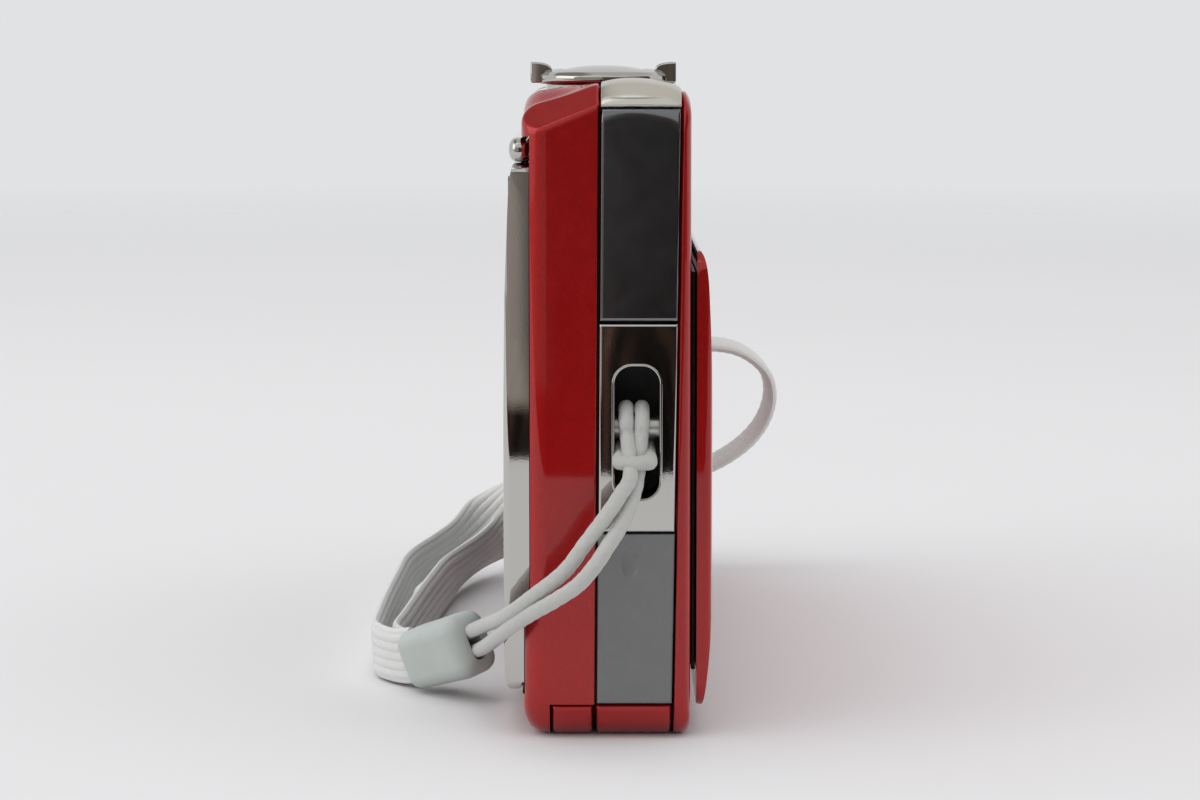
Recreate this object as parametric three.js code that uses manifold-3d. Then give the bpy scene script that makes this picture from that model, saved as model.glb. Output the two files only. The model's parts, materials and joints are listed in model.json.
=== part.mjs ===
// A slim pocket camera with a sliding lens cover, its end covers, rear controls, inner works and wrist strap.
// Millimetres, +Z up. The lens looks towards -Y, the display towards +Y, and the strap end is at -X.
// The origin is under the middle of the camera, on the surface that it stands on.
import * as THREE from "three";
import { mergeVertices } from "three/addons/utils/BufferGeometryUtils.js";
import Module from "manifold-3d";

const wasm = await Module();
wasm.setup();

// ---------------------------------------------------------------- driving dimensions
const BODY_LENGTH = 96;
const BODY_HEIGHT = 58;
const FRONT_FACE = 7.3; // in front of the origin
const BOTTOM_CORNER = 3.6;
const TOP_CORNER = 2.6;
const SHELL_WALL = 1.2;
const REAR_WALL = 1.8; // thicker, because the display frame lies in it
const REAR_DROP = 1.9; // how far the top falls from its crown to the rear
const SEAM = 0.12; // between neighbouring covers
const GAP = 0.3; // round what moves or is pushed in
const FINE_GAP = 0.1; // round what is glued or clipped in

// the silver and dark band between the two red shells
const BAND_FRONT_LOW = -5.7;
const BAND_FRONT_HIGH = -6.6;
const BAND_REAR_LOW = 1.1;
const BAND_REAR_HIGH = 0.75;

// end face, from the bottom up
const DOOR_LIP = 3.0;
const USB_COVER_HEIGHT = 15.3;
const LUG_PLATE_HEIGHT = 18.4;
const TOP_WRAP = 2.1; // how far the top plate comes down over the ends
const COVER_THICKNESS = 1.0;
const LUG_WINDOW_HEIGHT = 11.7;
const LUG_WINDOW_WIDTH = 4.4;
const LUG_WINDOW_RISE = 2.95; // from the lug plate's lower edge
const BAND_MIDDLE = -2.55;
const LUG_BAR_RADIUS = 1.05;
const LUG_POCKET_DEPTH = 5.6;

// display side
const BEZEL_BOTTOM = 4.0;
const BEZEL_TOP_DROP = 7.1; // from the top of the camera
const BEZEL_END_INSET = 1.7;
const BEZEL_DEPTH = 2.3;
const BEZEL_RIM = 1.1;
const BEZEL_SINK = 0.75; // how deep the frame lies in the rear shell
const RAIL_HEIGHT = 2.15;
const RAIL_DEPTH = 1.75;
const CONTROL_WIDTH = 27.4;
const NAV_RADIUS = 8.4;
const OK_RADIUS = 3.4;
const KEY_RADIUS = 2.7;
const MOVIE_RADIUS = 3.2;
const KEY_TRAVEL = 0.35;
const TFT_WIDTH = 56;
const TFT_HEIGHT = 40.4;

// sliding lens cover
const COVER_BOTTOM = 2.5;
const COVER_HEIGHT = 40.7;
const COVER_TRAVEL = 12.4;
const COVER_END_INSET = 2.0;
const COVER_INNER = 7.85; // in front of the origin
const COVER_OUTER = 9.25;
const RAIL_FOOT_WIDTH = 3.0;
const RAIL_FOOT_HEIGHT = 8.0;
const RAIL_FOOT_RISE = 22.0;

// top controls
const RING_FROM_END = 15.0;
const RING_Y = 0.4;
const RING_RADIUS = 6.1;
const RING_NECK_RADIUS = 5.2;
const HORN_REACH = 6.6;
const HORN_WIDTH = 4.6;
const SHUTTER_RADIUS = 4.35;
const POWER_RADIUS = 2.6;
const POWER_FROM_RING = 17.5;

// lens, flash and lamp
const LENS_FROM_END = 15.0;
const LENS_FROM_TOP = 8.7;
const LENS_RING_RADIUS = 5.5;
const LENS_GLASS_RADIUS = 4.2;
const HOUSING_WIDTH = 11.6;
const HOUSING_FLOOR = 8.0;
const FLASH_WIDTH = 13.0;
const FLASH_HEIGHT = 6.2;
const LAMP_RADIUS = 1.5;

// battery bay
const JACK_ZONE = 10.0; // length of the end that holds the connectors
const BATTERY_LENGTH = 30.6;
const BATTERY_THICKNESS = 5.2;
const BAY_WALL = 0.45;
const DOOR_THICKNESS = 1.2;
const CARD_WIDTH = 24;
const CARD_HEIGHT = 32;
const CARD_THICKNESS = 2.1;
const PIN_RADIUS = 0.38;
const LATCH_LENGTH = 6.5;
const LATCH_TRAVEL = 1.6;
const LATCH_WIDTH = 3.6;
const SLOT_SHEET = 0.3;
const KEY_BOARD_THICKNESS = 0.45;

const TRIPOD_RADIUS = 3.2;
const TRIPOD_OUTER = 4.5;
const TRIPOD_DEPTH = 6.2;

// wrist strap
const CORD_DIAMETER = 1.35;
const BAND_DIAMETER = 3.0; // round stand-in for the woven band
const BLOCK_LENGTH = 9.8;
const BLOCK_WIDTH = 6.2;
const BLOCK_THICKNESS = 4.8;

// ---------------------------------------------------------------- derived places
// From front to rear: the battery in its bay, the memory card, the key board and the rear wall.
const bayFront = -5.0;
const batteryFront = bayFront + BAY_WALL + FINE_GAP;
const batteryRear = batteryFront + BATTERY_THICKNESS;
const bayRear = batteryRear + FINE_GAP + BAY_WALL;
const cardFront = bayRear + GAP + SLOT_SHEET + FINE_GAP;
const slotRear = cardFront + CARD_THICKNESS + FINE_GAP + SLOT_SHEET;
const keyBoardFront = slotRear + GAP + 0.05;
const keyBoardRear = keyBoardFront + KEY_BOARD_THICKNESS;
const stemEnd = keyBoardRear + KEY_TRAVEL + 0.1;
const rearInner = stemEnd + 0.05;
const rearFace = rearInner + REAR_WALL;
const endX = BODY_LENGTH / 2;
const top = BODY_HEIGHT;
const frontY = -FRONT_FACE;
const wallX = endX - SHELL_WALL; // inner face of either end
const usbLow = DOOR_LIP + SEAM;
const usbHigh = usbLow + USB_COVER_HEIGHT;
const lugLow = usbHigh + SEAM;
const lugHigh = lugLow + LUG_PLATE_HEIGHT;
const hdmiLow = lugHigh + SEAM;
const wrapLow = top - TOP_WRAP; // lower edge of the top plate
const hdmiHigh = wrapLow - SEAM;
const ringX = -endX + RING_FROM_END;
const powerX = ringX + POWER_FROM_RING;
const lensX = endX - LENS_FROM_END;
const lensZ = top - LENS_FROM_TOP;
const boardTop = top - 4.9; // of the small board under the top controls
const boardBottom = boardTop - 0.8;

// ---------------------------------------------------------------- shape helpers
const ARC_STEPS = 5;
const X_AXIS = new THREE.Vector3(1, 0, 0);
const Y_AXIS = new THREE.Vector3(0, 1, 0);
const Z_AXIS = new THREE.Vector3(0, 0, 1);

// A closed geometry as a solid for joining and cutting.
function solid(geometry) {
  const bare = geometry.clone();
  bare.deleteAttribute("normal");
  bare.deleteAttribute("uv");
  const merged = mergeVertices(bare, 1e-4);
  return new wasm.Manifold(
    new wasm.Mesh({
      numProp: 3,
      vertProperties: merged.attributes.position.array,
      triVerts: new Uint32Array(merged.index.array),
    }),
  );
}

function geometryOf(shape) {
  const mesh = shape.getMesh();
  const geometry = new THREE.BufferGeometry();
  geometry.setAttribute("position", new THREE.BufferAttribute(mesh.vertProperties, 3));
  geometry.setIndex(new THREE.BufferAttribute(mesh.triVerts, 1));
  geometry.computeVertexNormals();
  return geometry;
}

const join = (first, ...rest) => rest.reduce((a, b) => a.add(b), first);
const cut = (first, ...rest) => rest.reduce((a, b) => a.subtract(b), first);
const meet = (first, ...rest) => rest.reduce((a, b) => a.intersect(b), first);

function block(x0, x1, y0, y1, z0, z1) {
  const geometry = new THREE.BoxGeometry(x1 - x0, y1 - y0, z1 - z0);
  return solid(geometry.translate((x0 + x1) / 2, (y0 + y1) / 2, (z0 + z1) / 2));
}

// A prism of a flat outline: drawn in Y and Z for axis "x", in X and Z for "y", in X and Y for "z".
function prism(axis, shape, from, to) {
  const geometry = new THREE.ExtrudeGeometry(shape, {
    depth: to - from,
    bevelEnabled: false,
    curveSegments: ARC_STEPS,
  });
  if (axis === "y") return solid(geometry.translate(0, 0, -to).rotateX(Math.PI / 2));
  geometry.translate(0, 0, from);
  if (axis === "x") geometry.applyMatrix4(new THREE.Matrix4().makeBasis(Y_AXIS, Z_AXIS, X_AXIS));
  return solid(geometry);
}

function roundedOutline(u0, u1, v0, v1, lowRadius, highRadius = lowRadius) {
  const shape = new THREE.Shape();
  shape.moveTo(u0 + lowRadius, v0);
  shape.lineTo(u1 - lowRadius, v0);
  shape.absarc(u1 - lowRadius, v0 + lowRadius, lowRadius, -Math.PI / 2, 0);
  shape.lineTo(u1, v1 - highRadius);
  shape.absarc(u1 - highRadius, v1 - highRadius, highRadius, 0, Math.PI / 2);
  shape.lineTo(u0 + highRadius, v1);
  shape.absarc(u0 + highRadius, v1 - highRadius, highRadius, Math.PI / 2, Math.PI);
  shape.lineTo(u0, v0 + lowRadius);
  shape.absarc(u0 + lowRadius, v0 + lowRadius, lowRadius, Math.PI, 1.5 * Math.PI);
  return shape;
}

function polygon(points) {
  return new THREE.Shape(points.map(([u, v]) => new THREE.Vector2(u, v)));
}

function disc(axis, cx, cy, cz, radius, length, sides = 32) {
  const geometry = new THREE.CylinderGeometry(radius, radius, length, sides);
  if (axis === "x") geometry.rotateZ(Math.PI / 2);
  if (axis === "z") geometry.rotateX(Math.PI / 2);
  return solid(geometry.translate(cx, cy, cz));
}

// A turned piece about its own Z axis, from a profile of [radius, height] going up the outside.
function turned(profile, sides = 40) {
  const points = profile.map(([r, z]) => new THREE.Vector2(r, z));
  return solid(new THREE.LatheGeometry(points, sides).rotateX(Math.PI / 2));
}

// The same turned piece with its axis along +Y.
function turnedRear(profile, sides = 32) {
  const points = profile.map(([r, y]) => new THREE.Vector2(r, y));
  return solid(new THREE.LatheGeometry(points, sides));
}

// ---------------------------------------------------------------- materials
const finish = (color, roughness, metalness) =>
  new THREE.MeshStandardMaterial({ color, roughness, metalness });
const redPaint = finish(0x9c2024, 0.3, 0.5);
const silver = finish(0xa9a6a0, 0.3, 0.9);
const chrome = finish(0xb8b5b0, 0.1, 1.0);
const gunmetal = finish(0x1e1f22, 0.15, 0.8);
const satinGrey = finish(0x63696b, 0.5, 0.3);
const blackPlastic = finish(0x121212, 0.6, 0.0);
const darkGlass = finish(0x0b0c10, 0.05, 0.1);
const clearGlass = finish(0xc8d4da, 0.05, 0.0);
const sheetSteel = finish(0xb0b2b4, 0.4, 0.9);
const boardGreen = finish(0x1e5a34, 0.6, 0.0);
const batteryGrey = finish(0x4a4d52, 0.6, 0.0);
const brass = finish(0xb59a55, 0.35, 0.9);
const orangePlastic = finish(0xd9661c, 0.5, 0.0);
const cordGrey = finish(0xcfcfc9, 0.8, 0.0);
const blockGrey = finish(0xb0b6b2, 0.6, 0.0);

const camera = new THREE.Group();

function place(name, shape, material, position = [0, 0, 0], group = camera) {
  const geometry = shape.isBufferGeometry ? shape : geometryOf(shape);
  const mesh = new THREE.Mesh(geometry, material);
  mesh.name = name;
  mesh.position.set(...position);
  group.add(mesh);
  return mesh;
}

// ---------------------------------------------------------------- the body's outer form
// Seen from the front: a long rectangle with soft corners.
function frontOutline(inset) {
  const x = endX - inset;
  return roundedOutline(-x, x, inset, top - inset, BOTTOM_CORNER - inset, TOP_CORNER - inset);
}

// Seen from above: flat faces with a tight front edge and a softer rear edge.
function planOutline(inset) {
  const rear = rearFace - inset;
  const front = frontY + inset;
  return roundedOutline(-endX + inset, endX - inset, front, rear, 1.3 - inset / 2, 2.2 - inset);
}

// Seen from the end: a crowned top that falls to the rear.
function sideOutline(inset) {
  const front = frontY + inset;
  const rear = rearFace - inset;
  const low = inset;
  const high = top - inset;
  const shape = new THREE.Shape();
  shape.moveTo(front + 1.1, low);
  shape.lineTo(rear - 2.5, low);
  shape.quadraticCurveTo(rear, low, rear, low + 3.1);
  shape.lineTo(rear, high - REAR_DROP - 2.2);
  shape.quadraticCurveTo(rear, high - REAR_DROP - 0.4, rear - 1.5, high - REAR_DROP);
  shape.lineTo(0.9, high - 0.7);
  shape.quadraticCurveTo(-2.0, high + 0.35, -5.6, high - 0.4);
  shape.quadraticCurveTo(front, high - 0.7, front, high - 1.9);
  shape.lineTo(front, low + 1.1);
  shape.quadraticCurveTo(front, low, front + 1.1, low);
  return shape;
}

function bodyForm(inset) {
  return meet(
    prism("y", frontOutline(inset), frontY - 5, rearFace + 5),
    prism("x", sideOutline(inset), -endX - 5, endX + 5),
    prism("z", planOutline(inset), -5, top + 5),
  );
}

const outer = bodyForm(0);
const inner = bodyForm(SHELL_WALL);
const skin = cut(outer, inner);

const bandFrontAt = (z) => BAND_FRONT_LOW + ((BAND_FRONT_HIGH - BAND_FRONT_LOW) * z) / top;
const bandRearAt = (z) => BAND_REAR_LOW + ((BAND_REAR_HIGH - BAND_REAR_LOW) * z) / top;

// The slice of space between two planes that run along X, each given as Y at z = 0 and at the top.
function slice(lowA, highA, lowB, highB) {
  const outline = polygon([
    [lowA, 0],
    [lowB, 0],
    [highB, top],
    [highA, top],
  ]);
  return prism("x", outline, -endX - 20, endX + 20);
}
const FAR = 40;
const bandSlice = slice(
  BAND_FRONT_LOW + SEAM / 2,
  BAND_FRONT_HIGH + SEAM / 2,
  BAND_REAR_LOW - SEAM / 2,
  BAND_REAR_HIGH - SEAM / 2,
);
const frontSlice = slice(-FAR, -FAR, BAND_FRONT_LOW - SEAM / 2, BAND_FRONT_HIGH - SEAM / 2);
const rearSlice = slice(BAND_REAR_LOW + SEAM / 2, BAND_REAR_HIGH + SEAM / 2, FAR, FAR);
const floorRear = 5.0; // rear edge of the base plate and the battery door

// ---------------------------------------------------------------- battery bay sizes
const bayStart = -endX + JACK_ZONE;
const batteryStart = bayStart + BAY_WALL + GAP;
const batteryEnd = batteryStart + BATTERY_LENGTH;
const bayEnd = batteryEnd + GAP + BAY_WALL;
const batteryLow = DOOR_THICKNESS + 1.0;
const capacitorRadius = 3.6;
const capacitorZ = boardBottom - GAP - capacitorRadius;
const bayTop = capacitorZ - capacitorRadius - GAP;
const springHeight = 3.6;
const batteryHigh = bayTop - BAY_WALL - 2 * FINE_GAP - springHeight;
const hingeX = bayEnd + 0.8;
const hingeZ = 0.75;
const barrelRadius = 0.7;
const baseStart = hingeX + barrelRadius + GAP / 2;
const latchBend = -endX + BOTTOM_CORNER;

// ---------------------------------------------------------------- shells and base
// The slot in the front shell that a foot of the lens cover's carrier runs in.
const footCentres = [bayStart + 6, lensX - 19];
const slotTop = RAIL_FOOT_RISE + RAIL_FOOT_HEIGHT + COVER_TRAVEL + GAP;
const flashX = lensX - 20;
const lampX = lensX - 9.4;
const lampZ = lensZ + 1.2;

function makeFrontShell() {
  const slots = footCentres.map((x) =>
    block(
      x - RAIL_FOOT_WIDTH / 2 - GAP,
      x + RAIL_FOOT_WIDTH / 2 + GAP,
      -20,
      0,
      RAIL_FOOT_RISE - GAP,
      slotTop,
    ),
  );
  const flashHole = prism(
    "y",
    roundedOutline(
      flashX - FLASH_WIDTH / 2 - FINE_GAP,
      flashX + FLASH_WIDTH / 2 + FINE_GAP,
      lensZ - FLASH_HEIGHT / 2 - FINE_GAP,
      lensZ + FLASH_HEIGHT / 2 + FINE_GAP,
      1.0,
    ),
    -20,
    0,
  );
  return cut(
    meet(outer, frontSlice),
    ...slots,
    flashHole,
    disc("y", lensX, -8, lensZ, LENS_RING_RADIUS + FINE_GAP, 20),
    disc("y", lampX, -8, lampZ, LAMP_RADIUS + FINE_GAP, 20, 20),
    ringPocket,
  );
}

const pocketFloor = top - 0.65;
const pocketRadius = HORN_REACH + 0.6;
const ringPocket = disc("z", ringX, RING_Y, pocketFloor + 5, pocketRadius, 10, 48);

const bezelHigh = top - BEZEL_TOP_DROP;
const railLow = bezelHigh + FINE_GAP;
const railHigh = railLow + RAIL_HEIGHT;
const sinkY = rearFace - BEZEL_SINK;
const bezelY = sinkY + FINE_GAP;
const bezelRearY = bezelY + BEZEL_DEPTH;
const trayY = bezelRearY - BEZEL_RIM + 0.15; // floor of the frame's shallow tray
const bezelX = endX - BEZEL_END_INSET;
const panelX = bezelX - BEZEL_RIM - FINE_GAP; // ends of what lies in the tray
const splitX = -panelX + CONTROL_WIDTH; // where the key panel meets the display glass
const navX = -panelX + CONTROL_WIDTH / 2;
const navZ = (BEZEL_BOTTOM + bezelHigh) / 2 - 0.4;
const movieZ = navZ + 16.0;
const keyZ = navZ - 15.6;
const keySpread = 7.2;
const stemRadius = 1.0;
const tftX0 = splitX + 4.6;
const tftX1 = tftX0 + TFT_WIDTH;
const tftZ0 = (BEZEL_BOTTOM + bezelHigh - TFT_HEIGHT) / 2;
const keys = {
  movie_button: [navX, movieZ, MOVIE_RADIUS],
  playback_button: [navX + keySpread, keyZ, KEY_RADIUS],
  menu_button: [navX - keySpread, keyZ, KEY_RADIUS],
};

const tftWindow = () =>
  block(tftX0 - GAP, tftX1 + GAP, 0, 20, tftZ0 - GAP, tftZ0 + TFT_HEIGHT + GAP);
const stemHoles = () =>
  Object.values(keys).map(([x, z]) => disc("y", x, 8, z, stemRadius + GAP, 12, 20));

function makeRearShell() {
  const cavity = meet(inner, block(-endX, endX, -20, rearInner, 0, top));
  const sink = block(-endX - 1, endX + 1, sinkY, 20, BEZEL_BOTTOM - FINE_GAP, railHigh + FINE_GAP);
  const floorClear = Math.max(DOOR_THICKNESS, SHELL_WALL) + GAP;
  const baseCut = block(-endX - 1, endX + 1, -20, floorRear + SEAM, -1, floorClear);
  const lipCut = block(
    -endX - 1,
    latchBend + LATCH_TRAVEL + GAP,
    -20,
    floorRear + SEAM,
    -1,
    DOOR_LIP + SEAM,
  );
  const neckHole = disc("z", ringX, RING_Y, top, RING_NECK_RADIUS + GAP, 10, 40);
  const corners = [-1, 1].map((side) => {
    // the slanted facet where the top meets the end
    const facet = new THREE.BoxGeometry(12, 40, 6).translate(0, 0, 3);
    facet.rotateY((side * Math.PI) / 4).rotateX(-0.36);
    return solid(facet.translate(side * (endX - 0.15), 0.9, top - 1.75));
  });
  return cut(
    meet(outer, rearSlice),
    cavity,
    sink,
    baseCut,
    lipCut,
    ...corners,
    tftWindow(),
    disc("y", navX, 8, navZ, 2.9, 12, 24),
    ...stemHoles(),
    ringPocket,
    neckHole,
  );
}

function makeTopPlate() {
  return cut(
    meet(skin, bandSlice, block(-endX - 1, endX + 1, -20, 20, wrapLow, top + 5)),
    ringPocket,
    disc("z", ringX, RING_Y, top, RING_NECK_RADIUS + GAP, 10, 40),
    disc("z", powerX, BAND_MIDDLE, top, POWER_RADIUS + FINE_GAP, 10, 32),
  );
}

function makeEndBand() {
  return meet(skin, bandSlice, block(wallX - 4, endX + 1, -20, 20, DOOR_THICKNESS + 0.3, hdmiHigh));
}

const tripodX = bayEnd + 14;
const screwX = tripodX + 11;
const screwY = 3.0;
const screwHead = 1.6;
const earLength = 1.6;

// The three stretches along Y of the door's hinge: ear of the base, barrel of the door, ear of the base.
const hingeFront = bandFrontAt(0) + SEAM + 0.2;
const hingeRear = floorRear - 0.15;
const hingeBarrel = (y0, y1, radius) =>
  disc("y", hingeX, (y0 + y1) / 2, hingeZ, radius, y1 - y0, 20);

function makeBasePlate() {
  const plate = meet(
    outer,
    block(baseStart, endX, BAND_FRONT_LOW + SEAM, floorRear, -1, DOOR_THICKNESS),
  );
  const ears = [
    [hingeFront, hingeFront + earLength],
    [hingeRear - earLength, hingeRear],
  ].map(([y0, y1]) =>
    join(
      hingeBarrel(y0, y1, barrelRadius),
      block(hingeX, baseStart + 0.5, y0, y1, hingeZ - 0.5, hingeZ + 0.45),
    ),
  );
  const screwHole = join(
    disc("z", screwX, screwY, 0, screwHead + FINE_GAP, 1.6, 24),
    disc("z", screwX, screwY, 0, 0.95, 8, 20),
  );
  return cut(
    join(plate, ...ears),
    disc("y", hingeX, 0, hingeZ, PIN_RADIUS + 0.05, 20, 16),
    disc("z", tripodX, 0, 0, TRIPOD_OUTER + FINE_GAP, 8, 40),
    screwHole,
  );
}

place("front_shell", makeFrontShell(), redPaint);
place("rear_shell", makeRearShell(), redPaint);
place("top_plate", makeTopPlate(), silver);
place("end_band", makeEndBand(), silver);
place("base_plate", makeBasePlate(), redPaint);

// ---------------------------------------------------------------- strap end: lug plate, covers, connectors
const pocketZ0 = lugLow + LUG_WINDOW_RISE;
const pocketZ1 = pocketZ0 + LUG_WINDOW_HEIGHT;
const windowY0 = BAND_MIDDLE - LUG_WINDOW_WIDTH / 2;
const windowY1 = BAND_MIDDLE + LUG_WINDOW_WIDTH / 2;
const coverBack = -endX + COVER_THICKNESS;
const frameFace = -wallX + 0.05;
const frameBack = frameFace + 1.35;
const lugBarX = coverBack + LUG_BAR_RADIUS + 0.15;
const lugBarZ = pocketZ0 + LUG_WINDOW_HEIGHT / 2 + 0.25;
const socketFace = frameFace + 0.5;
const hdmi = { middle: (hdmiLow + hdmiHigh) / 2, height: 11.4, depth: 6.6 };
const usb = { middle: (usbLow + usbHigh) / 2, height: 7.6, depth: 5.6 };
const SOCKET_THICKNESS = 3.5;
const socketY0 = BAND_MIDDLE - SOCKET_THICKNESS / 2;
const socketY1 = BAND_MIDDLE + SOCKET_THICKNESS / 2;

function endPiece(low, high, backX) {
  return meet(outer, bandSlice, block(-endX - 1, backX, -20, 20, low, high));
}

const lugWindow = (margin) =>
  prism(
    "x",
    roundedOutline(
      windowY0 - margin,
      windowY1 + margin,
      pocketZ0 - margin,
      pocketZ1 + margin,
      1.6 + margin,
    ),
    -endX - 2,
    -endX + 20,
  );

place("lug_plate", cut(endPiece(lugLow, lugHigh, coverBack), lugWindow(0)), chrome);
place("hdmi_cover", endPiece(hdmiLow, hdmiHigh, coverBack), gunmetal);

function makeUsbCover() {
  const notch = disc("x", -endX, BAND_MIDDLE, usbHigh - 1.6, 1.1, 0.6, 20);
  return cut(endPiece(usbLow, usbHigh, coverBack), notch);
}
place("usb_cover", makeUsbCover(), satinGrey);

const POCKET_WALL = 0.6;
const lugPocketFace = coverBack + FINE_GAP;
function makeLugPocket() {
  const span = (x0, x1) => block(x0, x1, -20, 20, 0, top);
  const shellForm = meet(lugWindow(POCKET_WALL), span(lugPocketFace, lugPocketFace + LUG_POCKET_DEPTH));
  const hollow = meet(lugWindow(0), span(-endX - 1, lugPocketFace + LUG_POCKET_DEPTH - POCKET_WALL));
  const barHole = disc("y", lugBarX, BAND_MIDDLE, lugBarZ, LUG_BAR_RADIUS + 0.06, 20, 24);
  return cut(shellForm, hollow, barHole);
}
place("lug_pocket", makeLugPocket(), blackPlastic);
const barLength = LUG_WINDOW_WIDTH + 2 * POCKET_WALL;
place("lug_bar", disc("y", 0, 0, 0, LUG_BAR_RADIUS, barLength, 24), chrome, [
  lugBarX,
  BAND_MIDDLE,
  lugBarZ,
]);

function socketHole(jack) {
  return block(
    -endX,
    -endX + 12,
    socketY0 - GAP,
    socketY1 + GAP,
    jack.middle - jack.height / 2 - GAP,
    jack.middle + jack.height / 2 + GAP,
  );
}

function makeJackFrame() {
  const plate = meet(
    bodyForm(SHELL_WALL + FINE_GAP),
    block(frameFace, frameBack, bandFrontAt(0) + GAP, rearInner - GAP, DOOR_LIP + GAP, wrapLow),
  );
  return cut(plate, lugWindow(POCKET_WALL + GAP), socketHole(hdmi), socketHole(usb));
}
place("jack_frame", makeJackFrame(), blackPlastic);

function makeSocket(jack) {
  const z0 = jack.middle - jack.height / 2;
  const z1 = jack.middle + jack.height / 2;
  const can = block(socketFace, socketFace + jack.depth, socketY0, socketY1, z0, z1);
  const mouth = block(
    socketFace - 1,
    socketFace + jack.depth - 1.4,
    socketY0 + 0.4,
    socketY1 - 0.4,
    z0 + 0.4,
    z1 - 0.4,
  );
  const tongue = block(
    socketFace + 0.6,
    socketFace + jack.depth - 1,
    BAND_MIDDLE - 0.35,
    BAND_MIDDLE + 0.35,
    z0 + 1.4,
    z1 - 1.4,
  );
  return join(cut(can, mouth), tongue);
}
place("hdmi_socket", makeSocket(hdmi), sheetSteel);
place("usb_socket", makeSocket(usb), sheetSteel);

const jackBoardY = socketY1 + FINE_GAP;
const pocketBack = lugPocketFace + LUG_POCKET_DEPTH;
function makeJackBoard() {
  const board = block(
    frameBack + GAP,
    bayStart - GAP,
    jackBoardY,
    jackBoardY + 1.0,
    usb.middle - usb.height / 2 - 2,
    boardBottom - GAP,
  );
  const notch = block(
    -endX,
    pocketBack + GAP,
    -20,
    20,
    pocketZ0 - POCKET_WALL - GAP,
    pocketZ1 + POCKET_WALL + GAP,
  );
  return cut(board, notch);
}
place("jack_board", makeJackBoard(), boardGreen);

// ---------------------------------------------------------------- display side
function makeBezel() {
  const profile = polygon([
    [bezelY, BEZEL_BOTTOM + 0.5],
    [bezelY + 0.6, BEZEL_BOTTOM],
    [bezelRearY - 0.9, BEZEL_BOTTOM],
    [bezelRearY - 0.25, BEZEL_BOTTOM + 0.6],
    [bezelRearY, BEZEL_BOTTOM + 2.2],
    [bezelRearY, bezelHigh - 9],
    [bezelRearY - 0.6, bezelHigh - 0.5],
    [bezelRearY - 1.0, bezelHigh],
    [bezelY, bezelHigh],
  ]);
  const plan = roundedOutline(-bezelX, bezelX, bezelY - 5, bezelRearY, 0.1, 0.8);
  const form = meet(
    prism("x", profile, -bezelX, bezelX),
    prism("z", plan, 0, top),
    prism("y", roundedOutline(-bezelX, bezelX, BEZEL_BOTTOM, bezelHigh, 2.0), 0, 20),
  );
  const tray = prism(
    "y",
    roundedOutline(
      -bezelX + BEZEL_RIM,
      bezelX - BEZEL_RIM,
      BEZEL_BOTTOM + BEZEL_RIM,
      bezelHigh - BEZEL_RIM,
      1.2,
    ),
    trayY,
    20,
  );
  return cut(
    form,
    tray,
    tftWindow(),
    disc("y", navX, 8, navZ, NAV_RADIUS + 0.5, 20, 40),
    ...Object.values(keys).map(([x, z]) => disc("y", x, 8, z, stemRadius + GAP, 12, 20)),
  );
}
place("rear_bezel", makeBezel(), chrome);

const railOutline = roundedOutline(sinkY + FINE_GAP, sinkY + FINE_GAP + RAIL_DEPTH, railLow, railHigh, 0.85);
place("rear_rail", prism("x", railOutline, -bezelX - 0.3, bezelX + 0.3), chrome);

place(
  "lcd_panel",
  block(tftX0, tftX1, rearInner + FINE_GAP, trayY - 0.05, tftZ0, tftZ0 + TFT_HEIGHT),
  blackPlastic,
);

const panelZ0 = BEZEL_BOTTOM + BEZEL_RIM + FINE_GAP;
const panelZ1 = bezelHigh - BEZEL_RIM - FINE_GAP;
const panelRearY = bezelRearY - 0.45;
place(
  "lcd_glass",
  prism("y", roundedOutline(splitX + SEAM, panelX, panelZ0, panelZ1, 1.1), trayY + 0.05, panelRearY),
  darkGlass,
);

function makeControlPlate() {
  const plate = prism(
    "y",
    roundedOutline(-panelX, splitX, panelZ0, panelZ1, 1.1),
    trayY + 0.05,
    panelRearY,
  );
  const holes = Object.values(keys).map(([x, z, r]) => disc("y", x, 8, z, r + 0.15, 20, 32));
  return cut(plate, disc("y", navX, 8, navZ, NAV_RADIUS + GAP, 20, 40), ...holes);
}
place("control_plate", makeControlPlate(), gunmetal);

// Each key: a cap that stands just proud of the panel, on a stem that reaches the key board.
const keyTop = panelRearY + 0.3;
const capSeat = trayY + 0.05 + KEY_TRAVEL + 0.1;
function keyShape(radius) {
  return turnedRear([
    [0, stemEnd],
    [stemRadius, stemEnd],
    [stemRadius, capSeat],
    [radius, capSeat],
    [radius, keyTop - 0.2],
    [radius - 0.35, keyTop],
    [0, keyTop + 0.05],
  ]);
}
for (const [name, [x, z, radius]] of Object.entries(keys)) {
  place(name, keyShape(radius), chrome, [x, 0, z]);
}

const navRockerY = sinkY + 0.45;
place(
  "nav_rocker",
  cut(
    turnedRear([
      [0, stemEnd],
      [2.4, stemEnd],
      [2.4, navRockerY],
      [NAV_RADIUS - 0.5, navRockerY],
      [NAV_RADIUS - 0.5, navRockerY + 0.5],
      [0, navRockerY + 0.5],
    ]),
    disc("y", 0, 8, 0, 1.6, 20, 20),
  ),
  blackPlastic,
  [navX, 0, navZ],
);
const navRingY = navRockerY + 0.5 + 0.45;
const okSeat = navRingY + 0.15; // clear of the tilted rocker when pressed
place(
  "nav_ring",
  turnedRear([
    [OK_RADIUS + 0.5, navRingY],
    [NAV_RADIUS, navRingY],
    [NAV_RADIUS, keyTop - 0.3],
    [NAV_RADIUS - 0.6, keyTop],
    [OK_RADIUS + 0.9, keyTop - 0.1],
    [OK_RADIUS + 0.5, keyTop - 0.3],
    [OK_RADIUS + 0.5, navRingY],
  ]),
  chrome,
  [navX, 0, navZ],
);
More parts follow.
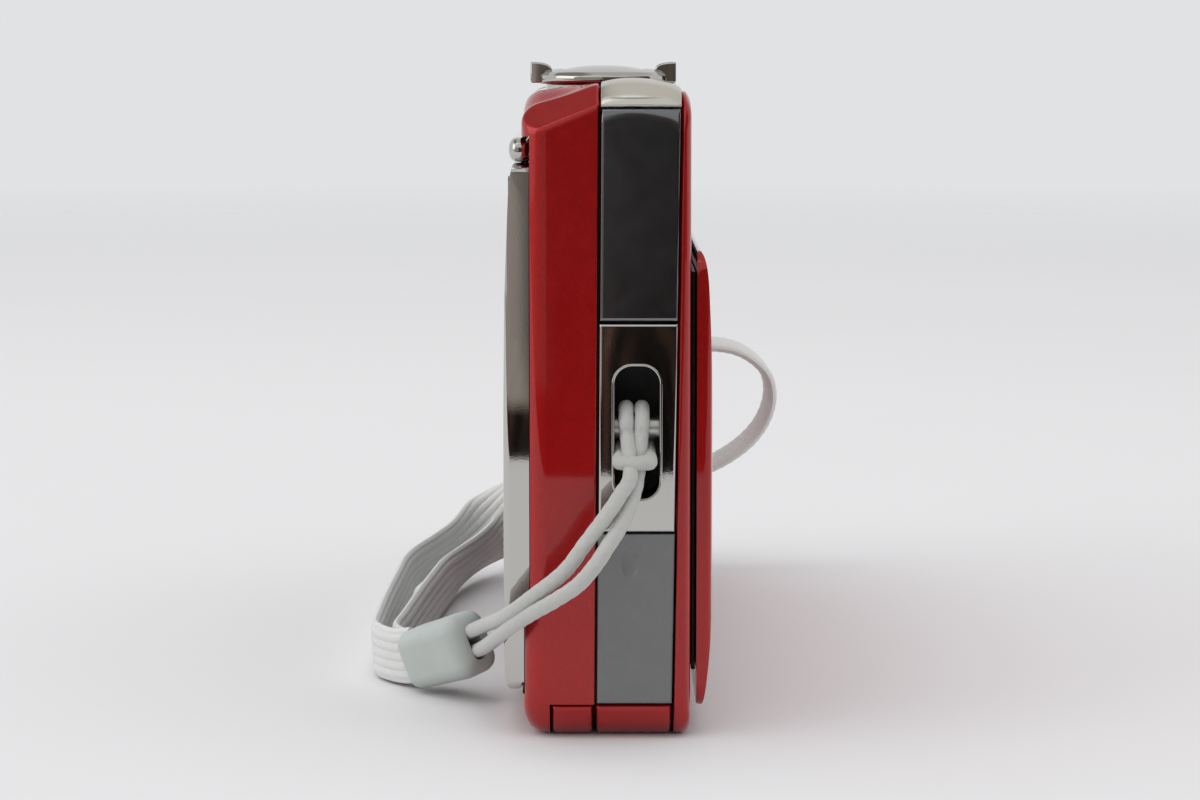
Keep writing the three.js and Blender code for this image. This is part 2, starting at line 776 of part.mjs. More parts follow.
place(
  "ok_button",
  turnedRear([
    [0, stemEnd],
    [stemRadius, stemEnd],
    [stemRadius, okSeat],
    [OK_RADIUS, okSeat],
    [OK_RADIUS, keyTop - 0.3],
    [OK_RADIUS - 0.4, keyTop - 0.1],
    [0, keyTop],
  ]),
  chrome,
  [navX, 0, navZ],
);

place(
  "key_board",
  block(-panelX + 0.5, splitX - 0.5, keyBoardFront, keyBoardRear, panelZ0, panelZ1 - 1),
  boardGreen,
);

// ---------------------------------------------------------------- sliding lens cover
const coverHigh = COVER_BOTTOM + COVER_HEIGHT;
function makeSlideCover() {
  const profile = new THREE.Shape();
  profile.moveTo(-COVER_INNER, COVER_BOTTOM);
  profile.lineTo(-COVER_INNER, coverHigh - 0.3);
  profile.quadraticCurveTo(-COVER_INNER - 0.05, coverHigh, -COVER_INNER - 0.4, coverHigh);
  profile.quadraticCurveTo(-COVER_OUTER + 0.5, coverHigh, -COVER_OUTER + 0.42, coverHigh - 1.6);
  profile.quadraticCurveTo(-COVER_OUTER + 0.1, coverHigh - 5, -COVER_OUTER, coverHigh - 9);
  profile.lineTo(-COVER_OUTER, COVER_BOTTOM + 6.3);
  profile.lineTo(-COVER_INNER - 0.25, COVER_BOTTOM);
  const x = endX - COVER_END_INSET;
  return meet(
    prism("x", profile, -x, x),
    prism("y", roundedOutline(-x, x, COVER_BOTTOM, coverHigh, 2.5), -20, 0),
    prism("z", roundedOutline(-x, x, -COVER_OUTER, 10, 0.9), 0, top),
  );
}
place("slide_cover", makeSlideCover(), redPaint);

const carrierRear = FRONT_FACE + 0.15; // in front of the origin
const footInner = 5.85;
function makeCarrier() {
  const x = endX - COVER_END_INSET - 2.5;
  const plate = block(-x, x, -COVER_INNER + 0.05, -carrierRear, COVER_BOTTOM + 3, coverHigh - 2);
  const feet = footCentres.map((fx) => {
    const half = RAIL_FOOT_WIDTH / 2;
    const z1 = RAIL_FOOT_RISE + RAIL_FOOT_HEIGHT;
    return join(
      block(fx - half, fx + half, -carrierRear - 0.1, -footInner + 0.2, RAIL_FOOT_RISE, z1),
      block(fx - half - 0.8, fx + half + 0.8, -footInner, -footInner + 0.55, RAIL_FOOT_RISE, z1),
    );
  });
  return join(plate, ...feet);
}
place("slide_carrier", makeCarrier(), blackPlastic);

// ---------------------------------------------------------------- lens unit, flash and lamp
place(
  "lens_ring",
  cut(
    disc("y", 0, (frontY - 5.9) / 2, 0, LENS_RING_RADIUS, FRONT_FACE - 5.9, 40),
    disc("y", 0, 0, 0, LENS_GLASS_RADIUS + FINE_GAP, 30, 40),
  ),
  chrome,
  [lensX, 0, lensZ],
);
place(
  "lens_glass",
  turnedRear([
    [0, frontY + 0.25],
    [2.4, frontY + 0.35],
    [LENS_GLASS_RADIUS, frontY + 0.7],
    [LENS_GLASS_RADIUS, -5.9],
    [0, -5.9],
  ]),
  darkGlass,
  [lensX, 0, lensZ],
);

const housingFront = -5.4;
const housingRear = 4.6;
const housingWall = 0.7;
const housingHalf = HOUSING_WIDTH / 2;
const housingTop = top - SHELL_WALL - 2.0;
function makeHousing() {
  const shellForm = block(
    lensX - housingHalf,
    lensX + housingHalf,
    housingFront,
    housingRear,
    HOUSING_FLOOR,
    housingTop,
  );
  const hollow = block(
    lensX - housingHalf + housingWall,
    lensX + housingHalf - housingWall,
    housingFront + housingWall,
    housingRear - housingWall,
    HOUSING_FLOOR - 1,
    housingTop - housingWall,
  );
  return cut(shellForm, hollow, disc("y", lensX, housingFront, lensZ, LENS_GLASS_RADIUS, 4, 32));
}
place("lens_housing", makeHousing(), blackPlastic);

const opticsX0 = lensX - housingHalf + housingWall + GAP;
const opticsX1 = lensX + housingHalf - housingWall - GAP;
const opticsY0 = housingFront + housingWall + GAP;
const opticsY1 = housingRear - housingWall - GAP;
const prismSize = opticsY1 - opticsY0;
const prismTop = housingTop - housingWall - GAP;
const prismOutline = polygon([
  [opticsY0, prismTop - prismSize],
  [opticsY1, prismTop - prismSize],
  [opticsY0, prismTop],
]);
place("prism", prism("x", prismOutline, opticsX0, opticsX1), clearGlass);

const zoomZ = HOUSING_FLOOR + 20;
const focusZ = HOUSING_FLOOR + 8;
const groupOutline = roundedOutline(opticsX0, opticsX1, opticsY0, opticsY1, 1.6);
place("zoom_group", prism("z", groupOutline, zoomZ, zoomZ + 4), blackPlastic);
place("focus_group", prism("z", groupOutline, focusZ, focusZ + 3), blackPlastic);
place(
  "image_sensor",
  block(opticsX0 - 0.4, opticsX1 + 0.4, opticsY0, opticsY1, HOUSING_FLOOR - GAP - 2.3, HOUSING_FLOOR - GAP),
  boardGreen,
);

place(
  "flash_window",
  prism(
    "y",
    roundedOutline(
      flashX - FLASH_WIDTH / 2,
      flashX + FLASH_WIDTH / 2,
      lensZ - FLASH_HEIGHT / 2,
      lensZ + FLASH_HEIGHT / 2,
      0.9,
    ),
    frontY,
    -6.1,
  ),
  clearGlass,
);
const flashRear = -2.4;
function makeReflector() {
  const half = FLASH_WIDTH / 2;
  const high = FLASH_HEIGHT / 2;
  const bowl = new THREE.Shape();
  bowl.moveTo(-6, lensZ - high + 0.3);
  bowl.quadraticCurveTo(flashRear + 0.2, lensZ - 1.2, flashRear - 0.8, lensZ);
  bowl.quadraticCurveTo(flashRear + 0.2, lensZ + 1.2, -6, lensZ + high - 0.3);
  return cut(
    block(flashX - half, flashX + half, -5.9, flashRear, lensZ - high, lensZ + high),
    prism("x", bowl, flashX - half + 0.4, flashX + half - 0.4),
  );
}
place("flash_reflector", makeReflector(), sheetSteel);
place("af_lamp", disc("y", 0, 0, 0, LAMP_RADIUS, FRONT_FACE - 5.7, 20), orangePlastic, [
  lampX,
  (frontY - 5.7) / 2,
  lampZ,
]);

// ---------------------------------------------------------------- boards and chassis
const capacitorStart = ringX + 11;
const capacitorEnd = flashX - FLASH_WIDTH / 2 - 2;
place(
  "flash_capacitor",
  disc("x", 0, 0, 0, capacitorRadius, capacitorEnd - capacitorStart, 28),
  blackPlastic,
  [(capacitorStart + capacitorEnd) / 2, -0.4, capacitorZ],
);

const switchTop = boardTop + 1.3;
function makeTopBoard() {
  const board = block(
    bayStart - 2,
    capacitorEnd,
    bandFrontAt(top) + 2,
    rearInner - 1.3,
    boardBottom,
    boardTop,
  );
  const powerSwitch = block(
    powerX - 2.2,
    powerX + 2.2,
    BAND_MIDDLE - 1.8,
    BAND_MIDDLE + 1.8,
    boardTop - 0.1,
    switchTop,
  );
  return join(board, powerSwitch);
}
place("top_board", makeTopBoard(), boardGreen);
place(
  "shutter_switch",
  block(ringX - 2.5, ringX + 2.5, RING_Y - 2.2, RING_Y + 2.2, boardTop + 0.05, switchTop),
  blackPlastic,
);

const boardX0 = bayEnd + 1.2;
const boardX1 = lensX - housingHalf - 1.0;
const boardZ0 = 8.0;
const boardZ1 = bayTop - 0.5;
const boardY0 = 1.5;
place("main_board", block(boardX0, boardX1, boardY0, boardY0 + 1.0, boardZ0, boardZ1), boardGreen);

const chassisY0 = housingRear + GAP;
const chassisY1 = rearInner - GAP;
const chassisFoot = DOOR_THICKNESS + GAP;
function makeChassis() {
  const sheet = block(boardX0, wallX - 0.6, chassisY0, chassisY1, chassisFoot, housingTop);
  const standoffs = [
    [boardX0 + 3, boardZ0 + 3],
    [boardX1 - 3, boardZ1 - 3],
  ].map(([x, z]) => {
    const y0 = boardY0 + 1.0 + FINE_GAP;
    return disc("y", x, (y0 + chassisY1) / 2, z, 1.4, chassisY1 - y0, 20);
  });
  const foot = block(tripodX + 7, wallX - 1.5, 1.2, chassisY1, chassisFoot, chassisFoot + 1.5);
  const thread = disc("z", screwX, screwY, chassisFoot, 0.95, 8, 20);
  const form = meet(join(sheet, ...standoffs, foot), bodyForm(SHELL_WALL + GAP));
  return cut(form, thread);
}
place("chassis", makeChassis(), sheetSteel);

function makeScrew() {
  const profile = [
    [0, 0.05],
    [screwHead - 0.2, 0.05],
    [screwHead, 0.25],
    [screwHead, 0.7],
    [0.8, 0.7],
    [0.8, chassisFoot + 1.8],
    [0, chassisFoot + 2.0],
  ];
  const cross = [block(-1.0, 1.0, -0.15, 0.15, -1, 0.35), block(-0.15, 0.15, -1.0, 1.0, -1, 0.35)];
  return cut(turned(profile, 20), ...cross);
}
place("base_screw", makeScrew(), sheetSteel, [screwX, screwY, 0]);

const socketCap = 0.8;
place(
  "tripod_socket",
  cut(
    disc("z", 0, 0, TRIPOD_DEPTH / 2, TRIPOD_OUTER, TRIPOD_DEPTH, 36),
    disc("z", 0, 0, 0, TRIPOD_RADIUS, 2 * (TRIPOD_DEPTH - socketCap), 32),
  ),
  brass,
  [tripodX, 0, 0],
);

// ---------------------------------------------------------------- battery bay
function makeHolder() {
  return cut(
    block(bayStart, bayEnd, bayFront, bayRear, batteryLow + 0.8, bayTop),
    block(
      bayStart + BAY_WALL,
      bayEnd - BAY_WALL,
      bayFront + BAY_WALL,
      bayRear - BAY_WALL,
      0,
      bayTop - BAY_WALL,
    ),
  );
}
place("battery_holder", makeHolder(), blackPlastic);
place(
  "battery",
  prism(
    "z",
    roundedOutline(batteryStart, batteryEnd, batteryFront, batteryRear, 1.0),
    batteryLow,
    batteryHigh,
  ),
  batteryGrey,
);

function makeSpring() {
  const radius = 1.5;
  const wire = 0.25;
  const turns = 3;
  const rise = springHeight - 2 * wire - 2 * FINE_GAP;
  class Helix extends THREE.Curve {
    getPoint(t) {
      const angle = 2 * Math.PI * turns * t;
      return new THREE.Vector3(radius * Math.cos(angle), radius * Math.sin(angle), rise * t);
    }
  }
  const section = new THREE.Shape();
  section.absarc(0, 0, wire, 0, 2 * Math.PI);
  return new THREE.ExtrudeGeometry(section, {
    steps: turns * 12,
    curveSegments: 3,
    extrudePath: new Helix(),
  });
}
place("battery_spring", solid(makeSpring()), sheetSteel, [
  (batteryStart + batteryEnd) / 2,
  (batteryFront + batteryRear) / 2,
  batteryHigh + FINE_GAP + 0.25,
]);

const lockX1 = batteryEnd - 0.8;
const lockX0 = lockX1 - 3.4;
const lockLow = DOOR_THICKNESS + GAP;
place(
  "battery_lock",
  join(
    block(lockX0, lockX1, bayRear + GAP, bayRear + GAP + 1.1, lockLow, lockLow + 3),
    block(lockX0, lockX1, batteryRear - 0.9, bayRear + GAP + 0.5, lockLow, lockLow + 0.4),
  ),
  orangePlastic,
);

const cardX1 = lockX0 - 1.5;
const cardX0 = cardX1 - CARD_WIDTH;
const cardLow = batteryLow + 0.4;
place(
  "memory_card",
  block(cardX0, cardX1, cardFront, cardFront + CARD_THICKNESS, cardLow, cardLow + CARD_HEIGHT),
  blackPlastic,
);
function makeCardSlot() {
  const side = 0.4;
  return cut(
    block(
      cardX0 - side,
      cardX1 + side,
      cardFront - FINE_GAP - SLOT_SHEET,
      slotRear,
      cardLow + 2.5,
      cardLow + CARD_HEIGHT - 1,
    ),
    block(
      cardX0 - FINE_GAP,
      cardX1 + FINE_GAP,
      cardFront - FINE_GAP,
      cardFront + CARD_THICKNESS + FINE_GAP,
      0,
      top,
    ),
  );
}
place("card_slot", makeCardSlot(), sheetSteel);

// The door closes the bottom and turns up over the end as a lip; its rear corner is the latch.
const latchY0 = BAND_REAR_LOW + 0.15;
const latchStart = -endX + LATCH_LENGTH;
const doorSkin = cut(outer, bodyForm(DOOR_THICKNESS));
function makeDoor() {
  const slab = meet(
    doorSkin,
    block(-endX - 1, hingeX, BAND_FRONT_LOW + SEAM, floorRear, -1, DOOR_LIP),
  );
  const latchCut = block(
    -endX - 1,
    latchStart + LATCH_TRAVEL + GAP,
    latchY0,
    floorRear + 1,
    -1,
    DOOR_THICKNESS - 0.4,
  );
  const lipCut = block(-endX - 1, latchBend + LATCH_TRAVEL + GAP, latchY0, floorRear + 1, -1, DOOR_LIP + 1);
  const earCuts = [
    [hingeFront - 1, hingeFront + earLength + 0.25],
    [hingeRear - earLength - 0.25, hingeRear + 1],
  ].map(([y0, y1]) => block(hingeX - barrelRadius - 0.4, hingeX + 2, y0, y1, -1, 3));
  const barrel = hingeBarrel(
    hingeFront + earLength + 0.25,
    hingeRear - earLength - 0.25,
    barrelRadius,
  );
  const bore = disc("y", hingeX, 0, hingeZ, PIN_RADIUS + 0.05, 20, 16);
  const edge = block(hingeX - 0.05, hingeX + 2, -20, 20, -1, 3);
  return cut(join(cut(slab, ...earCuts, edge), barrel), latchCut, lipCut, bore);
}
place("battery_door", makeDoor(), redPaint);
place(
  "door_pin",
  disc("y", 0, 0, 0, PIN_RADIUS, hingeRear - hingeFront, 16),
  sheetSteel,
  [hingeX, (hingeFront + hingeRear) / 2, hingeZ],
);
function makeLatch() {
  const y0 = latchY0 + SEAM;
  const y1 = Math.min(y0 + LATCH_WIDTH, floorRear);
  return join(
    meet(doorSkin, block(-endX - 1, latchBend, y0, y1, 0, DOOR_LIP)),
    meet(outer, block(-endX - 1, latchStart, y0, y1, 0, DOOR_THICKNESS - 0.4 - FINE_GAP)),
  );
}
place("door_latch", makeLatch(), redPaint);

// ---------------------------------------------------------------- top controls
const ringBase = pocketFloor + GAP;
const ringTop = ringBase + 1.25;
const hornTop = ringTop + 0.75;
const neckBottom = top - SHELL_WALL - 0.9;
const shutterBore = SHUTTER_RADIUS + 0.25;
function makeZoomRing() {
  const ring = turned(
    [
      [shutterBore, neckBottom],
      [RING_NECK_RADIUS, neckBottom],
      [RING_NECK_RADIUS, ringBase],
      [RING_RADIUS, ringBase],
      [RING_RADIUS, ringTop - 0.3],
      [RING_RADIUS - 0.5, ringTop],
      [shutterBore, ringTop],
      [shutterBore, neckBottom],
    ],
    48,
  );
  const horns = [-1, 1].map((side) => {
    const y0 = side > 0 ? shutterBore + 0.2 : -HORN_REACH;
    const y1 = side > 0 ? HORN_REACH : -shutterBore - 0.2;
    return block(-HORN_WIDTH / 2, HORN_WIDTH / 2, y0, y1, ringBase + 0.15, hornTop);
  });
  return join(ring, ...horns);
}
place("zoom_ring", makeZoomRing(), chrome, [ringX, RING_Y, 0]);

const stemBottom = switchTop + 0.65;
const shutterTop = ringTop + 0.45;
place(
  "shutter_button",
  turned([
    [0, stemBottom],
    [1.3, stemBottom],
    [1.3, neckBottom + 0.4],
    [SHUTTER_RADIUS, neckBottom + 0.4],
    [SHUTTER_RADIUS, ringTop - 0.25],
    [SHUTTER_RADIUS - 0.8, ringTop + 0.15],
    [SHUTTER_RADIUS / 2, shutterTop - 0.12],
    [0, shutterTop],
  ]),
  chrome,
  [ringX, RING_Y, 0],
);
place(
  "power_button",
  turned(
    [
      [0, switchTop + 0.45],
      [POWER_RADIUS, switchTop + 0.45],
      [POWER_RADIUS, top - 0.1],
      [POWER_RADIUS - 0.4, top + 0.15],
      [0, top + 0.2],
    ],
    32,
  ),
  chrome,
  [powerX, BAND_MIDDLE, 0],
);

// ---------------------------------------------------------------- wrist strap
// The thin cord runs from the block to the lug bar, round it, and back beside itself.
const CORD_ROUTE = [
  [-31.8, 11.8, 6.6],
  [-37.0, 11.2, 7.6],
  [-43.5, 10.9, 9.3],
  [-48.2, 9.8, 10.9],
  [-51.5, 7.9, 12.7],
  [-54.5, 5.9, 14.7],
  [-56.5, 3.3, 18.0],
  [-55.0, 0.7, 20.9],
  [-51.5, -1.2, 23.6],
  [-48.9, -1.6, 26.4],
  [-47.4, -1.6, 28.7],
  [-45.6, -1.7, 29.8],
  [-43.9, -2.0, 29.1],
  [-43.3, -2.4, 27.6],
  [-43.9, -2.8, 26.2],
  [-45.7, -3.1, 25.5],
  [-48.2, -3.1, 25.3],
  [-51.0, -3.0, 24.2],
  [-54.5, -1.9, 21.9],
  [-57.2, 0.4, 18.3],
  [-57.2, 3.0, 15.2],
  [-54.0, 6.2, 12.4],
  [-50.0, 9.2, 9.6],
  [-45.0, 11.0, 7.3],
  [-38.5, 11.8, 5.5],
  [-32.1, 11.7, 4.7],
];
// The woven band runs from the block along the table, leans in a loop on the far end, and comes back.
const BAND_ROUTE = [
  [-21.6, 17.2, 2.1],
  [-16.8, 19.6, 2.4],
  [-12.0, 19.9, 2.8],
  [0.0, 19.2, 2.85],
  [12.0, 18.4, 2.85],
  [24.0, 17.4, 2.9],
  [35.0, 15.6, 3.3],
  [45.0, 12.7, 4.3],
  [50.6, 8.6, 6.0],
  [52.0, 2.0, 8.2],
  [52.2, -5.5, 10.2],
  [53.0, -12.5, 12.2],
  [54.4, -17.2, 15.4],
  [54.8, -19.2, 19.4],
  [54.2, -18.4, 23.2],
  [53.0, -14.4, 25.9],
  [52.2, -8.0, 25.8],
  [51.8, -1.0, 22.4],
  [51.4, 6.2, 15.0],
  [49.4, 11.6, 8.6],
  [44.0, 16.4, 5.0],
  [37.0, 19.8, 3.6],
  [29.0, 21.5, 3.1],
  [14.0, 22.4, 2.9],
  [0.0, 22.8, 2.85],
  [-12.0, 23.2, 2.8],
  [-18.4, 22.5, 2.4],
  [-23.7, 20.0, 2.1],
];

function cordTube(route, diameter, steps) {
  const points = route.map(([x, y, z]) => new THREE.Vector3(x, y, z));
  const section = new THREE.Shape();
  section.absarc(0, 0, diameter / 2, 0, 2 * Math.PI);
  return solid(
    new THREE.ExtrudeGeometry(section, {
      steps,
      curveSegments: 4,
      extrudePath: new THREE.CatmullRomCurve3(points),
    }),
  );
}

const strap = new THREE.Group();
camera.add(strap);
place("strap_cord", cordTube(CORD_ROUTE, CORD_DIAMETER, 48), cordGrey, [0, 0, 0], strap);
place("strap_band", cordTube(BAND_ROUTE, BAND_DIAMETER, 30), cordGrey, [0, 0, 0], strap);

const blockHalf = BLOCK_LENGTH / 2;
const blockSide = BLOCK_WIDTH / 2;
const blockRise = BLOCK_THICKNESS / 2;
const blockForm = meet(
  prism("x", roundedOutline(-blockSide, blockSide, -blockRise, blockRise, 1.5), -blockHalf, blockHalf),
  prism("z", roundedOutline(-blockHalf, blockHalf, -blockSide, blockSide, 1.6), -10, 10),
);
// The block stands on its narrow side, with the end that the cord enters raised.
const strapBlock = place("strap_block", blockForm, blockGrey, [-27.5, 15.3, 4.3], strap);
const blockLift = THREE.MathUtils.degToRad(-17);
const blockTurn = THREE.MathUtils.degToRad(-140);
strapBlock.rotation.set(Math.PI / 2, blockLift, blockTurn, "ZYX");

export default camera;
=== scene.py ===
"""The looks of a slim pocket camera that stands on its base with its wrist strap round it."""

import json
import math

import bmesh
import bpy
from mathutils import Matrix, Vector


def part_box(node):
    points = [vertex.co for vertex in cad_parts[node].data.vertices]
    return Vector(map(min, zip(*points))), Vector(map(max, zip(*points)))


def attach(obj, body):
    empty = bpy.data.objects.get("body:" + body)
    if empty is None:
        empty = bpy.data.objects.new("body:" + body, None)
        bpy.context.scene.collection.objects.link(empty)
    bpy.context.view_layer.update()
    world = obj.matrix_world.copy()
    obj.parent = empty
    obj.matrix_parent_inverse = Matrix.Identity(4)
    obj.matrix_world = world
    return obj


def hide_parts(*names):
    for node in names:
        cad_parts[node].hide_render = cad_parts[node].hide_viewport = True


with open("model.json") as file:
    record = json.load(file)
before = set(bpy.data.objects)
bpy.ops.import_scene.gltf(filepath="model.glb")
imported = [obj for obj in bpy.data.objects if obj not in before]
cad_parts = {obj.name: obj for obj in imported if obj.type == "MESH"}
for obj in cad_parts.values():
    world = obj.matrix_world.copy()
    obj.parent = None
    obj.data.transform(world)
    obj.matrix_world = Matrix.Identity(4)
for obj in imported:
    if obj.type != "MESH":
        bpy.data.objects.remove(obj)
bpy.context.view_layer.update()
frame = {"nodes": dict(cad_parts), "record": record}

nodes = frame["nodes"]
body_of = {
    node: body
    for body, members in frame["record"]["behaviour"]["bodies"].items()
    for node in members
}
MM = 0.001  # metres; shapes below are written in millimetres and scaled once


# ------------ the camera's places, in millimetres
def corners(node):
    """A CAD node's lowest and highest corner in millimetres."""
    low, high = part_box(node)
    return low / MM, high / MM


def middle(node, axes):
    """Where a CAD node's box has its centre, along the axes named."""
    low, high = corners(node)
    return tuple((getattr(low, axis) + getattr(high, axis)) / 2 for axis in axes)


shell_low, shell_high = corners("front_shell")
END_X = shell_high.x
FRONT_Y = shell_low.y
REAR_Y = corners("rear_shell")[1].y
TOP = 58.0  # the outline's nominal top, which the crown passes a little
ring_low, ring_high = corners("zoom_ring")
RING_X, RING_Y = middle("zoom_ring", "xy")

# ------------ view of the strap end
VIEW_DISTANCE = 300.0  # from the lens to the near end of the camera
EYE_Y, EYE_HEIGHT = 0.7, 62.0
LENS_LENGTH = 103.3
PITCH = math.radians(6.04)


def make_camera():
    data = bpy.data.cameras.new("view_camera")
    data.lens = LENS_LENGTH
    data.sensor_width = 36
    data.clip_start = 0.01
    eye = bpy.data.objects.new("view_camera", data)
    eye.location = (-(END_X + VIEW_DISTANCE) * MM, EYE_Y * MM, EYE_HEIGHT * MM)
    eye.rotation_euler = (math.pi / 2 - PITCH, 0, -math.pi / 2)
    bpy.context.scene.collection.objects.link(eye)
    bpy.context.scene.camera = eye


make_camera()


# ------------ materials
class Look:
    """One procedural material: a Principled shader and the nodes that feed it."""

    def __init__(self, name, **constants):
        self.material = bpy.data.materials.new(name)
        self.material.use_nodes = True
        self.tree = self.material.node_tree
        self.shader = self.tree.nodes["Principled BSDF"]
        self.place = self.node("ShaderNodeTexCoord").outputs["Object"]
        for socket, value in constants.items():
            self.shader.inputs[socket.replace("_", " ")].default_value = value

    def node(self, kind, **inputs):
        made = self.tree.nodes.new(kind)
        for socket, value in inputs.items():
            self.feed(made.inputs[socket.replace("_", " ")], value)
        return made

    def feed(self, socket, value):
        if isinstance(value, bpy.types.NodeSocket):
            self.tree.links.new(value, socket)
        else:
            socket.default_value = value

    def noise(self, scale, detail=3.0, roughness=0.6, place=None):
        kind, place = "ShaderNodeTexNoise", place or self.place
        made = self.node(kind, Vector=place, Scale=scale, Detail=detail, Roughness=roughness)
        return made.outputs["Fac"]

    def between(self, value, low, high):
        """Rises from 0 to 1 as the value goes from low to high."""
        return self.node("ShaderNodeMapRange", Value=value, From_Min=low, From_Max=high).outputs[0]

    def axes(self):
        return self.node("ShaderNodeSeparateXYZ", Vector=self.place).outputs

    def distance(self):
        """How far the point is from the object's origin."""
        made = self.node("ShaderNodeVectorMath", Vector=self.place)
        made.operation = "LENGTH"
        return made.outputs["Value"]

    def ramp(self, value, *stops):
        """Maps a value through (position, colour or grey) stops."""
        made = self.node("ShaderNodeValToRGB", Fac=value)
        elements = made.color_ramp.elements
        while len(elements) < len(stops):
            elements.new(0.5)
        for element, (position, colour) in zip(elements, stops):
            element.position = position
            grey = isinstance(colour, (int, float))
            element.color = (colour, colour, colour, 1) if grey else colour
        return made.outputs["Color"]

    def mix(self, share, one, other, blend="MIX"):
        made = self.tree.nodes.new("ShaderNodeMix")
        made.data_type = "RGBA"
        made.blend_type = blend
        self.feed(made.inputs["Factor"], share)
        for index, value in ((6, one), (7, other)):
            self.feed(made.inputs[index], value)
        return made.outputs[2]

    def colour(self, value):
        self.feed(self.shader.inputs["Base Color"], value)
        return self

    def glow(self, value):
        """Gives light of its own and reflects none."""
        self.colour((0, 0, 0, 1))
        self.feed(self.shader.inputs["Emission Color"], value)
        self.shader.inputs["Emission Strength"].default_value = 1.0
        return self

    def roughness(self, value, low, high):
        """From low to high where most of a noise's values lie."""
        self.feed(self.shader.inputs["Roughness"], self.ramp(value, (0.3, low), (0.7, high)))
        return self

    def bump(self, height, depth, strength=1.0):
        """Depth is in metres."""
        made = self.node("ShaderNodeBump", Height=height)
        made.inputs["Distance"].default_value = depth
        made.inputs["Strength"].default_value = strength
        earlier = self.shader.inputs["Normal"].links
        if earlier:
            self.tree.links.new(earlier[0].from_socket, made.inputs["Normal"])
        self.tree.links.new(made.outputs["Normal"], self.shader.inputs["Normal"])
        return self


def rgb(red, green, blue):
    """An sRGB colour from 0 to 255 as linear RGBA."""

    def linear(value):
        share = value / 255
        return share / 12.92 if share <= 0.04045 else ((share + 0.055) / 1.055) ** 2.4

    return (linear(red), linear(green), linear(blue), 1.0)


def darker(colour, share):
    return tuple(share * c for c in colour[:3]) + (1,)


def red_paint():
    """Metallic paint with fine flakes under a clear coat."""
    coat = {"Coat_Weight": 1.0, "Coat_Roughness": 0.03, "Coat_IOR": 1.45}
    look = Look("red_paint", Metallic=0.66, Specular_IOR_Level=0.1, **coat)
    deep = look.mix(look.noise(60, 2.0), rgb(159, 17, 18), rgb(171, 24, 24))
    flakes = look.node("ShaderNodeTexVoronoi", Vector=look.place, Scale=11000).outputs["Color"]
    look.colour(look.mix(0.16, deep, flakes, "OVERLAY"))
    look.roughness(look.noise(900), 0.30, 0.40)
    return look.bump(look.noise(700, 1.0), 0.000002, 0.6).material


def bright_metal(name, colour, low, high, grain=350, metal=1.0):
    look = Look(name, Metallic=metal, Specular_IOR_Level=0.5)
    tone = look.mix(look.noise(90, 2.0), colour, darker(colour, 0.93))
    look.colour(tone).roughness(look.noise(grain, 4.0), low, high)
    return look.bump(look.noise(5200, 2.0), 0.0000008, 0.5).material


def gunmetal_gloss():
    look = Look("gunmetal_gloss", Metallic=1.0, Coat_Weight=1.0, Coat_Roughness=0.02, Coat_IOR=1.55)
    look.colour(look.mix(look.noise(120, 3.0), rgb(102, 105, 109), rgb(114, 117, 120)))
    return look.roughness(look.noise(500), 0.13, 0.18).material


def moulded(name, colour, roughness, grain, depth, metallic=0.0):
    """Moulded plastic with spark-eroded grain."""
    look = Look(name, Metallic=metallic, Specular_IOR_Level=0.5)
    look.colour(look.mix(look.noise(grain / 6, 3.0), colour, darker(colour, 0.86)))
    look.roughness(look.noise(grain / 3), roughness - 0.05, roughness + 0.05)
    return look.bump(look.noise(grain, 3.0), depth).material


def dark_glass():
    look = Look("dark_glass", Coat_Weight=1.0, Coat_Roughness=0.01, IOR=1.52)
    look.colour(look.mix(look.noise(30, 2.0), rgb(10, 11, 15), rgb(16, 17, 23)))
    return look.roughness(look.noise(260), 0.03, 0.07).material


def clear_glass():
    look = Look("clear_glass", Transmission_Weight=1.0, IOR=1.5)
    look.colour(look.mix(look.noise(40), rgb(244, 247, 250), rgb(232, 240, 246)))
    return look.roughness(look.noise(300), 0.02, 0.06).material


def circuit_board():
    look = Look("board_green", Specular_IOR_Level=0.5, Coat_Weight=0.4)
    tracks = look.node("ShaderNodeTexBrick", Vector=look.place, Scale=900.0)
    tracks.inputs["Mortar Size"].default_value = 0.06
    pads = look.ramp(tracks.outputs["Fac"], (0.45, rgb(20, 70, 42)), (0.55, rgb(46, 104, 66)))
    look.colour(pads).roughness(look.noise(400), 0.4, 0.55)
    return look.bump(tracks.outputs["Fac"], 0.00002).material


def fibre(name, colour, ribs):
    """Spun synthetic yarn: fine filaments and a soft sheen."""
    look = Look(name, Sheen_Weight=0.35, Sheen_Roughness=0.5, Specular_IOR_Level=0.3)
    strands = look.noise(ribs, 5.0, 0.7)
    look.colour(look.mix(strands, darker(colour, 0.78), colour)).roughness(strands, 0.7, 0.9)
    return look.bump(look.noise(ribs * 2, 4.0, 0.7), 0.00003, 0.8).material


